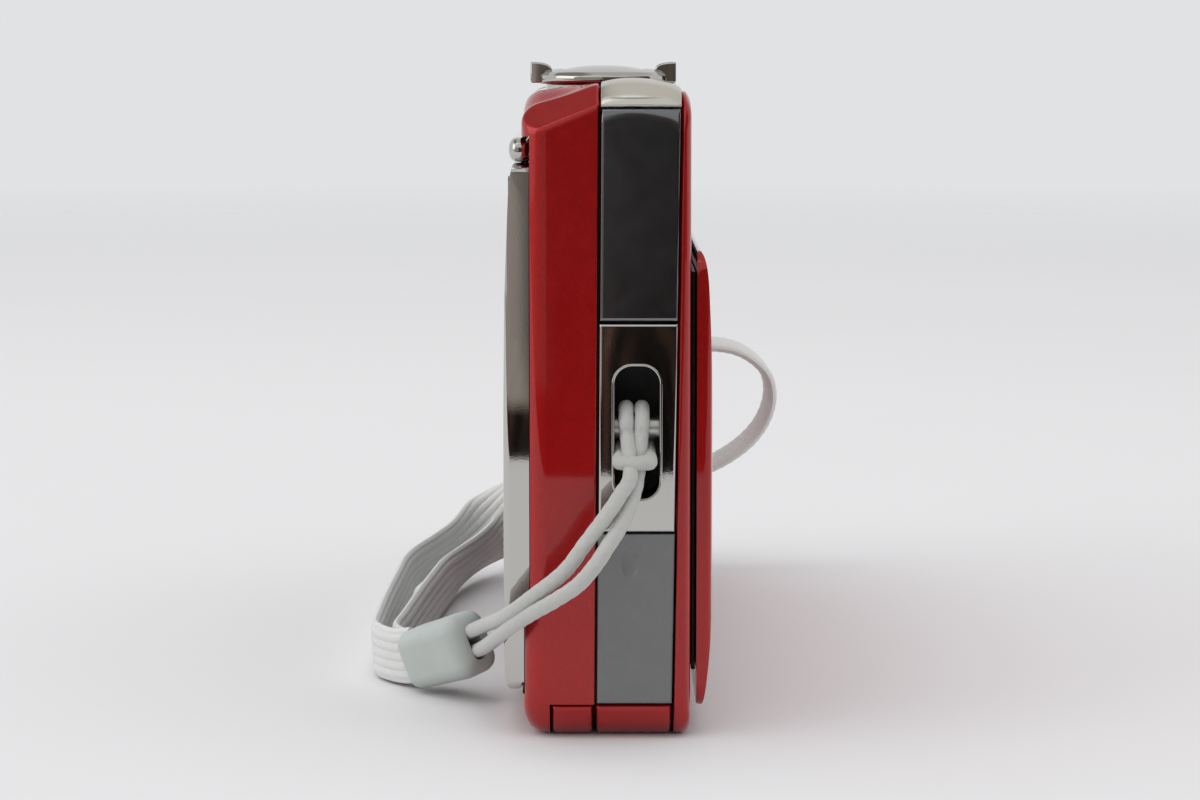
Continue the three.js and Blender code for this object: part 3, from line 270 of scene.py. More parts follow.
finishes = {
    "red_paint": red_paint(),
    "silver_plate": bright_metal("silver_plate", rgb(208, 205, 196), 0.17, 0.24, metal=0.9),
    "chrome_trim": bright_metal("chrome_trim", rgb(196, 194, 190), 0.015, 0.05),
    "gunmetal_gloss": gunmetal_gloss(),
    "satin_grey": moulded("satin_grey", rgb(119, 120, 120), 0.42, 4200, 0.000006, 0.15),
    "black_plastic": moulded("black_plastic", rgb(20, 20, 21), 0.5, 3800, 0.000012),
    "dark_glass": dark_glass(),
    "clear_glass": clear_glass(),
    "sheet_steel": bright_metal("sheet_steel", rgb(190, 191, 192), 0.25, 0.42, 700),
    "board_green": circuit_board(),
    "battery_grey": moulded("battery_grey", rgb(84, 87, 92), 0.5, 3000, 0.00001),
    "brass_insert": bright_metal("brass_insert", rgb(196, 168, 98), 0.18, 0.34),
    "orange_plastic": moulded("orange_plastic", rgb(214, 104, 34), 0.4, 2600, 0.000008),
    "cord_grey": fibre("cord_grey", rgb(194, 194, 190), 5200),
    "band_grey": fibre("band_grey", rgb(230, 230, 228), 4200),
    "block_grey": moulded("block_grey", rgb(190, 196, 192), 0.55, 2600, 0.000012),
}
CAD_EDGE = 0.07  # how wide the fine rounding on the CAD's own edges is


def shade(mesh, angle):
    """Smooth shading, apart from edges sharper than that many degrees."""
    mesh.shade_smooth()
    mesh.set_sharp_from_angle(angle=math.radians(angle))


def dress_cad_nodes():
    """Gives every CAD node its slot's finish and round edges, which leave its own mesh as it is."""
    slots = {s["node"]: s["material_slot"] for s in frame["record"]["subparts"]}
    for name, obj in nodes.items():
        obj.data.materials.clear()
        obj.data.materials.append(finishes[slots[name]])
        shade(obj.data, 32)
        weld = obj.modifiers.new("weld", "WELD")
        weld.merge_threshold = 0.000004  # metres
        bevel = obj.modifiers.new("edges", "BEVEL")
        bevel.width = CAD_EDGE * MM
        bevel.segments = 2
        bevel.angle_limit = math.radians(38)
        bevel.harden_normals = True
        obj.modifiers.new("normals", "WEIGHTED_NORMAL").keep_sharp = True


dress_cad_nodes()
nodes["lug_bar"].data.materials[0] = bright_metal("satin_bar", rgb(196, 195, 190), 0.32, 0.42)


# ------------ mesh tools
SHARP_ANGLE = 48  # degrees between faces from which an edge is left sharp


def link_mesh(name, bm):
    """An object in the scene from a bmesh, which it uses up."""
    mesh = bpy.data.meshes.new(name)
    bm.to_mesh(mesh)
    bm.free()
    obj = bpy.data.objects.new(name, mesh)
    bpy.context.scene.collection.objects.link(obj)
    return obj


def new_piece(name, bm, node, slot, bevel=0.0, segments=3, angle=34, cutters=(), within=()):
    """Makes a piece from a bmesh in millimetres and puts it in a CAD node's place.

    It is cut by the cutters and kept inside the shapes in within, and then its edges are rounded.
    """
    bmesh.ops.scale(bm, vec=(MM, MM, MM), verts=bm.verts)
    obj = link_mesh(name, bm)
    obj.data.materials.append(finishes[slot])
    for tool, operation in [(t, "INTERSECT") for t in within] + [(t, "DIFFERENCE") for t in cutters]:
        boolean = obj.modifiers.new("cut", "BOOLEAN")
        boolean.solver = "MANIFOLD"
        boolean.operation = operation
        boolean.object = tool
    if obj.modifiers:
        settle(obj)
        for tool in (*within, *cutters):
            bpy.data.objects.remove(tool)
    if bevel:
        weld = obj.modifiers.new("weld", "WELD")
        weld.merge_threshold = 0.00003  # metres
        edges = obj.modifiers.new("edges", "BEVEL")
        edges.width = bevel * MM
        edges.segments = segments
        edges.angle_limit = math.radians(angle)
        settle(obj)
    shade(obj.data, SHARP_ANGLE)
    obj.modifiers.new("normals", "WEIGHTED_NORMAL").keep_sharp = True
    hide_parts(node)
    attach(obj, body_of[node])
    return obj


def settle(obj):
    """Applies the object's modifiers."""
    depsgraph = bpy.context.evaluated_depsgraph_get()
    made = bpy.data.meshes.new_from_object(obj.evaluated_get(depsgraph))
    obj.modifiers.clear()
    obj.data = made


def cutter_object(bm):
    """A shape for new_piece to cut with or keep within, which it removes afterwards."""
    bmesh.ops.scale(bm, vec=(MM, MM, MM), verts=bm.verts)
    face_out(bm)
    obj = link_mesh("cutter", bm)
    obj.hide_render = True
    return obj


def face_out(bm):
    """Turns every face's normal outwards."""
    bmesh.ops.recalc_face_normals(bm, faces=bm.faces)


def everything(bm):
    return bm.verts[:] + bm.edges[:] + bm.faces[:]


def join(bm, rings):
    """Makes the faces between rings of points that follow each other."""
    for one, other in zip(rings, rings[1:]):
        for i in range(len(one)):
            j = (i + 1) % len(one)
            bm.faces.new((one[i], one[j], other[j], other[i]))


def close(bm, rings):
    """Closes the two ends of a row of rings."""
    bm.faces.new(rings[0])
    bm.faces.new(rings[-1])
    face_out(bm)
    return bm


def quadratic(start, control, end, steps):
    """Points of a quadratic curve, without its start."""
    points = []
    for i in range(1, steps + 1):
        t = i / steps
        a, b, c = (1 - t) ** 2, 2 * t * (1 - t), t * t
        points.append(tuple(a * p + b * q + c * r for p, q, r in zip(start, control, end)))
    return points


def rounded(u0, u1, v0, v1, radius, steps=8):
    """A rectangle with round corners, anticlockwise."""
    points = []
    for cu, cv, start in (
        (u1 - radius, v0 + radius, -90),
        (u1 - radius, v1 - radius, 0),
        (u0 + radius, v1 - radius, 90),
        (u0 + radius, v0 + radius, 180),
    ):
        for i in range(steps + 1):
            angle = math.radians(start + 90 * i / steps)
            points.append((cu + radius * math.cos(angle), cv + radius * math.sin(angle)))
    return points


def circle(cu, cv, radius, sides=64):
    return [
        (cu + radius * math.cos(math.tau * i / sides), cv + radius * math.sin(math.tau * i / sides))
        for i in range(sides)
    ]


AXES = {
    "x": lambda u, v, w: Vector((w, u, v)),
    "y": lambda u, v, w: Vector((u, w, v)),
    "z": lambda u, v, w: Vector((u, v, w)),
}


def prism(axis, outline, low, high):
    """A bmesh of an outline carried along an axis, with its two numbers on the other two axes, in order."""
    bm = bmesh.new()
    put = AXES[axis]
    rings = [[bm.verts.new(put(u, v, w)) for u, v in outline] for w in (low, high)]
    join(bm, rings)
    return close(bm, rings)


def box(x0, x1, y0, y1, z0, z1):
    return prism("z", [(x0, y0), (x1, y0), (x1, y1), (x0, y1)], z0, z1)


def cut(axis, outline, low, high):
    """A prism to cut with."""
    return cutter_object(prism(axis, outline, low, high))


def bore(axis, centre, radius, sides, low, high):
    """A round hole to cut."""
    return cut(axis, circle(*centre, radius, sides), low, high)


def clamped(share):
    return min(1.0, max(0.0, share))


def eased(share):
    """From 0 to 1 without a corner at either end."""
    return share * share * (3 - 2 * share)


def lathe(profile, centre, sides=96):
    """Turns a closed profile of (radius, height) round the upright through centre. Radius 0 closes on it."""
    bm = bmesh.new()
    offset = Vector((*centre, 0))
    rings = []
    for radius, along in profile:
        spots = [(0, 0)] if radius < 1e-6 else circle(0, 0, radius, sides)
        rings.append([bm.verts.new(Vector((u, v, along)) + offset) for u, v in spots])
    for one, other in zip(rings, rings[1:] + rings[:1]):
        if len(one) == 1 and len(other) == 1:
            continue
        for i in range(sides):
            j = (i + 1) % sides
            quad = [one[i % len(one)], one[j % len(one)], other[j % len(other)], other[i % len(other)]]
            bm.faces.new(list(dict.fromkeys(quad)))  # a triangle where a ring is one point
    face_out(bm)
    return bm


# ------------ wrist strap
BAND_ROUTE = [
    (-25.2, 16.9, 3.5), (-23.5, 18.3, 3.0), (-20.6, 19.9, 2.9), (-17.4, 20.3, 2.85), (-12.0, 19.9, 2.85),
    (0.0, 19.2, 2.85), (12.0, 18.4, 2.85), (24.0, 17.4, 2.9), (35.0, 15.6, 3.3), (45.0, 12.7, 4.3),
    (50.6, 8.6, 6.0), (52.0, 2.0, 8.2), (52.2, -5.5, 10.2), (53.0, -12.5, 12.2), (54.4, -17.2, 15.4),
    (54.8, -19.2, 19.4), (54.2, -18.4, 23.2), (53.0, -14.4, 25.9), (52.2, -8.0, 25.8), (51.8, -1.0, 22.4),
    (51.4, 6.2, 15.0), (49.4, 11.6, 8.6), (44.0, 16.4, 5.0), (37.0, 19.8, 3.6), (29.0, 21.5, 3.1),
    (14.0, 22.0, 2.9), (0.0, 22.3, 2.85), (-12.0, 22.4, 2.85), (-17.6, 22.3, 2.85), (-20.7, 21.3, 2.9),
    (-23.1, 19.7, 3.0), (-25.0, 18.1, 3.5),
]
CORD_DIAMETER = 1.35
BAND_WIDTH = 5.4
BAND_THICKNESS = 1.15
BAND_RIB = 0.15  # how far the warp cords stand out


def spline(points, step):
    """A Catmull-Rom curve through the points, cut into even steps of about that length."""
    route = [Vector(p) for p in points]
    fine = []
    for i in range(len(route) - 1):
        before = route[i - 1] if i else 2 * route[0] - route[1]
        after = route[i + 2] if i + 2 < len(route) else 2 * route[-1] - route[-2]
        p, q = route[i], route[i + 1]
        for k in range(24):
            t = k / 24
            twice = 2 * p + (q - before) * t + (2 * before - 5 * p + 4 * q - after) * t**2
            fine.append(0.5 * (twice + (3 * p - before - 3 * q + after) * t**3))
    fine.append(route[-1])
    gone = [0.0]
    for a, b in zip(fine, fine[1:]):
        gone.append(gone[-1] + (b - a).length)
    count = max(2, round(gone[-1] / step))
    even, j = [], 0
    for k in range(count + 1):
        target = gone[-1] * k / count
        while j < len(fine) - 2 and gone[j + 1] < target:
            j += 1
        share = (target - gone[j]) / max(gone[j + 1] - gone[j], 1e-9)
        even.append(fine[j].lerp(fine[j + 1], share))
    return even, gone[-1]


def tangents(path):
    last = len(path) - 1
    return [(path[min(i + 1, last)] - path[max(i - 1, 0)]).normalized() for i in range(last + 1)]


def swept(path, across, section):
    """Sweeps section(i) -> [(u, v)] along a path, with u along across[i] and v at right angles to both."""
    bm = bmesh.new()
    rings = []
    for i, (centre, along) in enumerate(zip(path, tangents(path))):
        side = (across[i] - along * across[i].dot(along)).normalized()
        up = along.cross(side)
        rings.append([bm.verts.new(centre + side * u + up * v) for u, v in section(i)])
    join(bm, rings)
    return close(bm, (rings[0][::-1], rings[-1]))


def carried(path, start):
    """Side vectors that turn as little as they can along a path."""
    directions = tangents(path)
    side = (Vector(start) - directions[0] * Vector(start).dot(directions[0])).normalized()
    sides = [side]
    for one, other in zip(directions, directions[1:]):
        side = one.rotation_difference(other) @ side
        sides.append(side.normalized())
    return sides


BAR_X, BAR_Z = middle("lug_bar", "xz")
BAR_RADIUS = (corners("lug_bar")[1].z - corners("lug_bar")[0].z) / 2
WRAP = BAR_RADIUS + CORD_DIAMETER / 2 + 0.05  # the cord's centre from the bar's


def round_bar(degrees, y, extra=0.0):
    """A point beside the bar. 180 degrees is in front of it, 90 above and 0 behind."""
    angle = math.radians(degrees)
    reach = WRAP + extra
    return (BAR_X + reach * math.cos(angle), y, BAR_Z + reach * math.sin(angle))


def hitch_route():
    """The cord's own route: out of the block, through a lark's head round the bar, and back."""
    going = [
        (-29.4, 13.6, 5.9), (-31.3, 12.6, 6.9), (-40.0, 10.95, 9.0), (-48.0, 9.0, 11.1), (-52.5, 6.5, 13.6),
        (-55.5, 3.8, 16.2), (-56.4, 2.0, 18.7), (-55.0, 0.3, 20.8), (-52.3, -1.1, 22.5),
    ]
    coming = [
        (-54.6, -1.0, 19.9), (-56.5, -0.05, 18.7), (-57.6, 1.1, 17.1), (-57.1, 2.6, 15.3),
        (-55.0, 4.65, 13.6), (-52.0, 6.8, 11.9), (-47.6, 9.05, 9.7), (-40.0, 10.75, 7.2),
        (-31.7, 11.9, 5.2), (-29.8, 13.3, 4.4),
    ]
    left, right = -1.6, -3.0  # where the two strands lie on the bar
    bight_front = BAR_X - WRAP - CORD_DIAMETER * 1.15
    bight_z = BAR_Z - 2.75
    turn = ((200, -0.1), (160, 0.0), (120, 0.0), (80, 0.0), (35, 0.1), (-15, 0.25))
    up = [
        (-49.7, -1.95, 23.8),
        *(round_bar(degrees, left + spread) for degrees, spread in turn),
        round_bar(-62, left + 0.35, 0.05),
        (BAR_X - 1.6, left + 0.5, BAR_Z - 2.35),
        (BAR_X - 3.0, left + 0.55, bight_z),
    ]
    bight = [
        (bight_front + 0.1, left + 0.1, bight_z),
        (bight_front - 0.12, (left + right) / 2, bight_z - 0.05),
        (bight_front + 0.1, right - 0.2, bight_z),
    ]
    down = [
        (BAR_X - 3.0, right - 0.65, bight_z),
        (BAR_X - 1.6, right - 0.6, BAR_Z - 2.35),
        round_bar(-62, right - 0.45, 0.05),
        *(round_bar(degrees, right - spread) for degrees, spread in reversed(turn)),
        (-48.3, right + 0.35, 24.2),
        (-49.4, -2.4, 22.7),
        (-51.8, -1.85, 21.3),
    ]
    return going + up + bight + down + coming


def cord_section(steps_per_turn):
    """A braided round: two sets of yarns that cross."""
    sides = 24

    def section(i):
        ring = []
        for k in range(sides):
            angle = math.tau * k / sides
            turn = math.tau * i / steps_per_turn
            one = math.cos(4 * angle + turn)
            other = math.cos(4 * angle - turn)
            radius = CORD_DIAMETER / 2 * (0.965 + 0.035 * max(one, other))
            ring.append((radius * math.cos(angle), radius * math.sin(angle)))
        return ring

    return section


def make_cord():
    path, length = spline(hitch_route(), 0.16)
    bm = swept(path, carried(path, (0, 0, 1)), cord_section(9))
    return new_piece("wrist_cord", bm, "strap_cord", "cord_grey"), path, length


def band_across(point):
    """The band's width direction: it stands on its edge beside the body and lies level behind it."""
    keys = [
        (-26.0, Vector((0.1, 0.3, 1))),
        (-19.0, Vector((0, 0.06, 1))),
        (20.0, Vector((0, 0.05, 1))),
        (38.0, Vector((0.05, -0.3, 1))),
        (49.5, Vector((0.75, -0.25, 0.7))),
        (52.0, Vector((1, 0.1, 0.12))),
    ]
    if point.x <= keys[0][0]:
        return keys[0][1].normalized()
    for (x0, one), (x1, other) in zip(keys, keys[1:]):
        if point.x <= x1:
            share = eased((point.x - x0) / (x1 - x0))
            return one.normalized().lerp(other.normalized(), share).normalized()
    return keys[-1][1].normalized()


def band_section(i):
    """A woven strip: thick warp cords along it, small weft steps across them."""
    columns = 36
    weft = 0.03 * math.cos(math.tau * i / 3)
    half = BAND_WIDTH / 2
    ring = []
    for side in (1, -1):
        for k in range(columns):
            share = k / columns
            u = side * half * (1 - 2 * share)
            edge = math.sqrt(max(0.0, 1 - (abs(u) / half) ** 6))
            rib = BAND_RIB * abs(math.cos(math.pi * 6 * share)) ** 0.7
            ring.append((u, side * edge * (BAND_THICKNESS / 2 - BAND_RIB + rib + weft)))
    return ring


def make_band():
    path = []
    for point in spline(BAND_ROUTE, 0.34)[0]:
        across = band_across(point)
        reach = BAND_WIDTH / 2 * abs(across.z) + BAND_THICKNESS / 2 * math.hypot(across.x, across.y)
        path.append(Vector((point.x, point.y, max(point.z, reach + 0.1))))  # it stays off the table
    length = sum((b - a).length for a, b in zip(path, path[1:]))
    bm = swept(path, [band_across(p) for p in path], band_section)
    return new_piece("wrist_band", bm, "strap_band", "band_grey"), path, length


BLOCK_SIZE = (9.6, 4.7, 6.1)  # along, through and up
BLOCK_CENTRE = Vector((-27.5, 15.25, 4.35))
BLOCK_ALONG = Vector((-0.7326, -0.6147, 0.2924)).normalized()  # towards the cord
BLOCK_UP = Vector((0.079, 0.357, 0.931))


def make_block():
    up = (BLOCK_UP - BLOCK_ALONG * BLOCK_UP.dot(BLOCK_ALONG)).normalized()
    through = up.cross(BLOCK_ALONG)
    place = Matrix((BLOCK_ALONG, through, up)).transposed().to_4x4()
    place.translation = BLOCK_CENTRE
    bm = bmesh.new()
    bmesh.ops.create_cube(bm, size=1.0)
    bmesh.ops.scale(bm, vec=BLOCK_SIZE, verts=bm.verts)
    bmesh.ops.bevel(bm, geom=bm.edges[:] + bm.verts[:], offset=1.5, segments=8, profile=0.5, affect="EDGES")
    for vert in bm.verts:  # the broad faces swell a little and the block narrows to the webbing
        share = vert.co.x / BLOCK_SIZE[0] + 0.5
        vert.co.y *= 1 + 0.06 * (1 - (2 * share - 1) ** 2)
        vert.co.z *= 1 - 0.07 * (1 - share)
    bm.transform(place)
    slot = prism("x", rounded(-0.72, 0.72, -1.65, 1.65, 0.6), 2.4, 8)
    slot.transform(place)
    mouth = prism("x", rounded(-1.35, 1.35, -2.78, 2.78, 0.3), -8, -3.9)
    mouth.transform(place)
    cutters = [cutter_object(slot), cutter_object(mouth)]
    return new_piece("strap_joiner", bm, "strap_block", "block_grey", 0.18, 3, 50, cutters)


joiner = make_block()
cord, cord_path, cord_length = make_cord()
band, band_path, band_length = make_band()


# ------------ the body's outer form
CORNER_LOW, CORNER_FRONT, CORNER_REAR = 3.6, 1.3, 2.2
CORNER_HIGH, CORNER_HIGH_REAR = 3.4, 1.6
SHELL_WALL = 1.2
SEAM = 0.1  # half of the gap between neighbouring pieces
EDGE = 0.16  # radius of the edges along a seam
BAND_FRONT = (-5.7, -6.6)  # Y of the front seam at the base and at the top
BAND_REAR = (1.1, 0.75)


def side_outline():
    """The body's outline seen from the strap end: (Y, Z), a crowned top that falls to the rear."""
    front, rear, high = FRONT_Y, REAR_Y, TOP
    points = [(front + 1.1, 0.0)]
    points += [(front + 1.1 + (rear - front - 3.6) * i / 8, 0.0) for i in range(1, 9)]
    points += quadratic((rear - 2.5, 0.0), (rear, 0.0), (rear, 3.1), 12)
    points += [(rear, 3.1 + (high - 6.2) * i / 20) for i in range(1, 21)]
    points += quadratic((rear, high - 3.1), (rear, high - 1.15), (rear - 1.7, high - 0.85), 12)
    points += [(rear - 1.7 + (2.6 - rear) * i / 12, high - 0.85 + 0.7 * i / 12) for i in range(1, 13)]
    points += quadratic((0.9, high - 0.15), (-1.9, high + 0.7), (-5.3, high - 0.1), 16)
    points += quadratic((-5.3, high - 0.1), (front, high - 0.5), (front, high - 2.4), 12)
    points += [(front, high - 2.4 + (3.5 - high) * i / 12) for i in range(1, 13)]
    points += quadratic((front, 1.1), (front, 0.0), (front + 1.1, 0.0), 8)[:-1]
    return points


def fillet(radius, depth):
    """How far in a round edge lies at that depth from the end."""
    inside = min(max(depth, 0.0), radius)
    return radius - math.sqrt(max(0.0, radius**2 - (radius - inside) ** 2))


def make_body_surface(corner_high, extra=()):
    """The closed form before any seam, with more columns of points at the extra X."""
    depths = [CORNER_LOW * (i / 18) ** 2 for i in range(19)]
    straight = [END_X - CORNER_LOW - 2 * (END_X - CORNER_LOW) * i / 10 for i in range(1, 10)]
    columns = [v for d in depths for v in (END_X - d, d - END_X)] + straight + list(extra)
    bm = bmesh.new()
    rings = []
    for x in sorted({round(x, 4) for x in columns}):
        depth = END_X - abs(x)
        low, high = fillet(CORNER_LOW, depth), fillet(corner_high, depth)
        front, rear = fillet(CORNER_FRONT, depth), fillet(CORNER_REAR, depth)
        width = REAR_Y - FRONT_Y
        ring = []
        for y, z in side_outline():
            y = FRONT_Y + front + (y - FRONT_Y) * (width - front - rear) / width
            ring.append(bm.verts.new((x, y, low + z * (TOP - low - high) / TOP)))
        rings.append(ring)
    join(bm, rings)
    return close(bm, rings)


THUMB_X, THUMB_REACH = RING_X + 0.8, 16.5
THUMB_Y = (1.5, 7.6)  # where the scoop starts and where it is deepest
THUMB_DEPTH = 1.75
THUMB_LOW, THUMB_RISE = 53.6, 1.8  # pressing starts at this height and is full this much higher
THUMB_CLEAR = 7.7  # from the lever ring's centre, outside its pocket
FACET_SOFT = 0.4  # half the width over which a corner facet bends into the form


def make_rear_surface():
    """The rear half's form: a slanted facet at each top corner and a scoop for the thumb."""
    extra = [THUMB_X + THUMB_REACH * (i / 26 - 1) for i in range(53)]
    bm = make_body_surface(CORNER_HIGH_REAR, [x for x in extra if abs(x) < END_X - CORNER_LOW])
    press_thumb(bm)
    soft = FACET_SOFT
    for side in (-1, 1):
        point = Vector((side * END_X, 0.97, TOP - 2.0))
        normal = Vector((side * 0.6, 0.3, 0.74)).normalized()
        for share in (-1, -0.7, -0.4, -0.15, 0.15, 0.4, 0.7, 1):
            score(bm, point + normal * soft * share, normal)
        for vert in bm.verts:
            out = (vert.co - point).dot(normal)
            if out > soft:
                vert.co -= normal * out
            elif out > -soft:
                vert.co -= normal * ((out + soft) ** 2 / (4 * soft))
    return bm


def press_thumb(bm):
    """Sinks the scoop into the top, before the facets cut its end."""
    for vert in bm.verts:
        along = 1 - min(1.0, abs(vert.co.x - THUMB_X) / THUMB_REACH) ** 3
        across = clamped((vert.co.y - THUMB_Y[0]) / (THUMB_Y[1] - THUMB_Y[0]))
        beyond = math.hypot(vert.co.x - RING_X, vert.co.y - RING_Y) - THUMB_CLEAR
        along *= eased(clamped(beyond / 2.0))
        depth = THUMB_DEPTH * along * (1 - (1 - across) ** 2)
        vert.co.z -= depth * eased(clamped((vert.co.z - THUMB_LOW) / THUMB_RISE))


def score(bm, point, normal, clear=False):
    """Cuts edges into the surface along a plane. To clear also removes what lies past it."""
    parts = everything(bm)
    bmesh.ops.bisect_plane(bm, geom=parts, dist=1e-5, plane_co=point, plane_no=normal, clear_outer=clear)


body_surface = make_body_surface(CORNER_HIGH)
rear_surface = make_rear_surface()


def seam_plane(ends, offset):
    """A point and the +Y normal of a slanted seam, moved along Y by offset."""
    low, high = ends
    return Vector((0, low + offset, 0)), Vector((0, TOP, low - high)).normalized()


def behind(ends, offset=SEAM):
    point, normal = seam_plane(ends, offset)
    return point, -normal


def ahead(ends, offset=-SEAM):
    return seam_plane(ends, offset)


def limit(axis, place, side):
    """A plane across an axis, to clear what lies past it on that side, 1 or -1."""
    return AXES[axis](0, 0, place), AXES[axis](0, 0, side)


def above(z):
    return limit("z", z, -1)


def below(z):
    return limit("z", z, 1)


def right_of(x):
    return limit("x", x, -1)


def left_of(x):
    return limit("x", x, 1)


def skin(*planes, surface=None, wall=SHELL_WALL, edge=EDGE):
    """A patch of a surface between planes, with a wall inwards and round edges along the seams."""
    bm = (surface or body_surface).copy()
    for point, normal in planes:
        score(bm, point, normal, clear=True)
    for point, normal in planes:
        for share in (0.07, 0.28, 0.6, 1.0):
            score(bm, point - normal * edge * share, normal)
    bmesh.ops.remove_doubles(bm, verts=bm.verts, dist=0.004)
    face_out(bm)
    centre = Vector((0, 0, TOP / 2))
    if sum(f.calc_area() * f.normal.dot(f.calc_center_median() - centre) for f in bm.faces) < 0:
        bmesh.ops.reverse_faces(bm, faces=bm.faces)
    bm.normal_update()
    faces = bm.faces[:]
    rims = [loop for f in faces for loop in f.loops if loop.edge.is_boundary]
    rims = [(loop.vert, loop.link_loop_next.vert) for loop in rims]
    outer = bm.verts[:]
    twins = {v: bm.verts.new(v.co - v.normal * wall) for v in outer}
    for face in faces:
        bm.faces.new([twins[v] for v in reversed(face.verts)])
    for one, other in rims:
        bm.faces.new((other, one, twins[one], twins[other]))
    for vert in outer:
        depth = min((point - vert.co).dot(normal) for point, normal in planes)
        vert.co -= vert.normal * fillet(edge, depth)
    bm.normal_update()
    return bm


# ------------ shells
bezel_low, bezel_high = corners("rear_bezel")
rail_low, rail_high = corners("rear_rail")
cover_low, cover_high = corners("slide_cover")
DOOR_LIP = 3.0  # how high the door's turned-up end reaches
DOOR_WALL = 1.2
WRAP_LOW = corners("top_plate")[0].z
FLOOR_REAR = corners("base_plate")[1].y
POCKET_FLOOR = TOP - 0.65  # of the round pocket that the zoom ring turns in
POCKET_RADIUS = 7.2
LENS_HOLE, LAMP_HOLE, NECK_HOLE, POWER_HOLE = 5.6, 1.62, 5.5, 2.72  # radii
TRIPOD_HOLE, SCREW_HOLE, KEY_HOLE = 4.62, 1.75, 1.3
FOOT_SLOTS = (-32.0, 14.0)  # X of the slots that the cover's feet run in


def window_box(rear):
    """The opening for the display panel."""
    low, high = corners("lcd_panel")
    return cutter_object(box(low.x - 0.3, high.x + 0.3, 0, rear, low.z - 0.3, high.z + 0.3))


def ring_pocket():
    return bore("z", (RING_X, RING_Y), POCKET_RADIUS, 96, POCKET_FLOOR, TOP + 3)


def make_front_shell():
    cutters = [bore("y", middle("lens_ring", "xz"), LENS_HOLE, 96, -9, 0), ring_pocket()]
    low, high = corners("flash_window")
    flash = rounded(low.x - 0.1, high.x + 0.1, low.z - 0.1, high.z + 0.1, 1.1)
    cutters.append(cut("y", flash, -9, 0))
    cutters.append(bore("y", middle("af_lamp", "xz"), LAMP_HOLE, 48, -9, 0))
    for x in FOOT_SLOTS:
        cutters.append(cutter_object(box(x - 1.8, x + 1.8, -9, 0, 21.7, 42.7)))
    new_piece("front_shell_form", skin(ahead(BAND_FRONT)), "front_shell", "red_paint", cutters=cutters)


def make_rear_shell():
    base = box(-60, 60, -10, FLOOR_REAR + 0.15, -2, DOOR_WALL + 0.3)
    lip = box(-60, -42.3, -10, FLOOR_REAR + 0.15, -2, DOOR_LIP + 0.15)
    # The display frame's seat: its lower part lies further back than its upper part.
    outline = [
        (bezel_low.y + 0.42, bezel_low.z - 0.12),
        (bezel_low.y + 0.42, bezel_low.z + 7.4),
        (bezel_low.y - 0.08, bezel_low.z + 9.4),
        (bezel_low.y - 0.08, rail_high.z + 0.12),
        (20.0, rail_high.z + 0.12),
        (20.0, bezel_low.z - 0.12),
    ]
    cutters = [cutter_object(bm) for bm in (base, lip, prism("x", outline, -60, 60))]
    cutters += [window_box(12), ring_pocket()]
    bm = skin(behind(BAND_REAR), surface=rear_surface)
    new_piece("rear_shell_form", bm, "rear_shell", "red_paint", cutters=cutters)


def make_top_plate():
    cutters = [
        ring_pocket(),
        bore("z", (RING_X, RING_Y), NECK_HOLE, 96, 50, 62),
        bore("z", middle("power_button", "xy"), POWER_HOLE, 64, 50, 62),
    ]
    # A fine groove where the plate turns down on to the end.
    level, half, inner, outer = WRAP_LOW + 0.68, 0.07, END_X - 0.68, END_X + 1
    for side in (-1, 1):
        groove = [(outer, -half), (inner, -half), (inner, half), (outer, half)]
        cutters.append(cut("y", [(side * x, level + z) for x, z in groove], -8, 3))
    bm = skin(behind(BAND_FRONT), ahead(BAND_REAR), above(WRAP_LOW))
    new_piece("top_plate_form", bm, "top_plate", "silver_plate", cutters=cutters)


def end_piece(name, node, slot, low, high, edge, cutters=()):
    """One cover of the strap end, cut from the body's surface."""
    planes = (behind(BAND_FRONT), ahead(BAND_REAR), above(low), below(high), left_of(1 - END_X))
    new_piece(name, skin(*planes, wall=0.95, edge=edge), node, slot, cutters=cutters)


def make_strap_end():
    hdmi_low, hdmi_high = corners("hdmi_cover")
    lug_low, lug_high = corners("lug_plate")
    usb_low, usb_high = corners("usb_cover")
    end_piece("upper_cover_form", "hdmi_cover", "gunmetal_gloss", hdmi_low.z + 0.06, hdmi_high.z, 0.34)
    pocket_low, pocket_high = corners("lug_pocket")

    def window(grow):
        y0, y1 = pocket_low.y + 0.82 - grow, pocket_high.y - 0.82 + grow
        return rounded(y0, y1, pocket_low.z + 0.6 - grow, pocket_high.z - 0.6 + grow, 1.55 + grow, 12)

    hole = cut("x", window(0.0), -60, -40)
    end_piece("lug_plate_form", "lug_plate", "chrome_trim", lug_low.z, lug_high.z, 0.26, [hole])
    # The window's raised lip.
    lip = bmesh.new()
    profile = ((0.0, 0.6), (0.0, 0.06), (0.04, -0.01), (0.12, -0.04), (0.2, -0.03), (0.26, 0.02), (0.26, 0.6))
    rings = [[lip.verts.new((x - END_X, u, v)) for u, v in window(grow)] for grow, x in profile]
    join(lip, rings + rings[:1])
    face_out(lip)
    new_piece("lug_window_lip", lip, "lug_plate", "chrome_trim")
    nail = bmesh.new()  # a dimple for the fingernail
    bmesh.ops.create_uvsphere(nail, u_segments=48, v_segments=32, radius=1.0)
    bmesh.ops.scale(nail, vec=(0.42, 0.82, 1.55), verts=nail.verts)
    bmesh.ops.translate(nail, vec=(-END_X - 0.16, -1.95, usb_high.z - 2.6), verts=nail.verts)
    dimple = cutter_object(nail)
    low, high = usb_low.z + 0.1, usb_high.z - 0.06
    end_piece("lower_cover_form", "usb_cover", "satin_grey", low, high, 0.22, [dimple])
    planes = (behind(BAND_FRONT), ahead(BAND_REAR), above(1.6), below(hdmi_high.z), right_of(42.8))
    new_piece("end_band_form", skin(*planes), "end_band", "silver_plate")


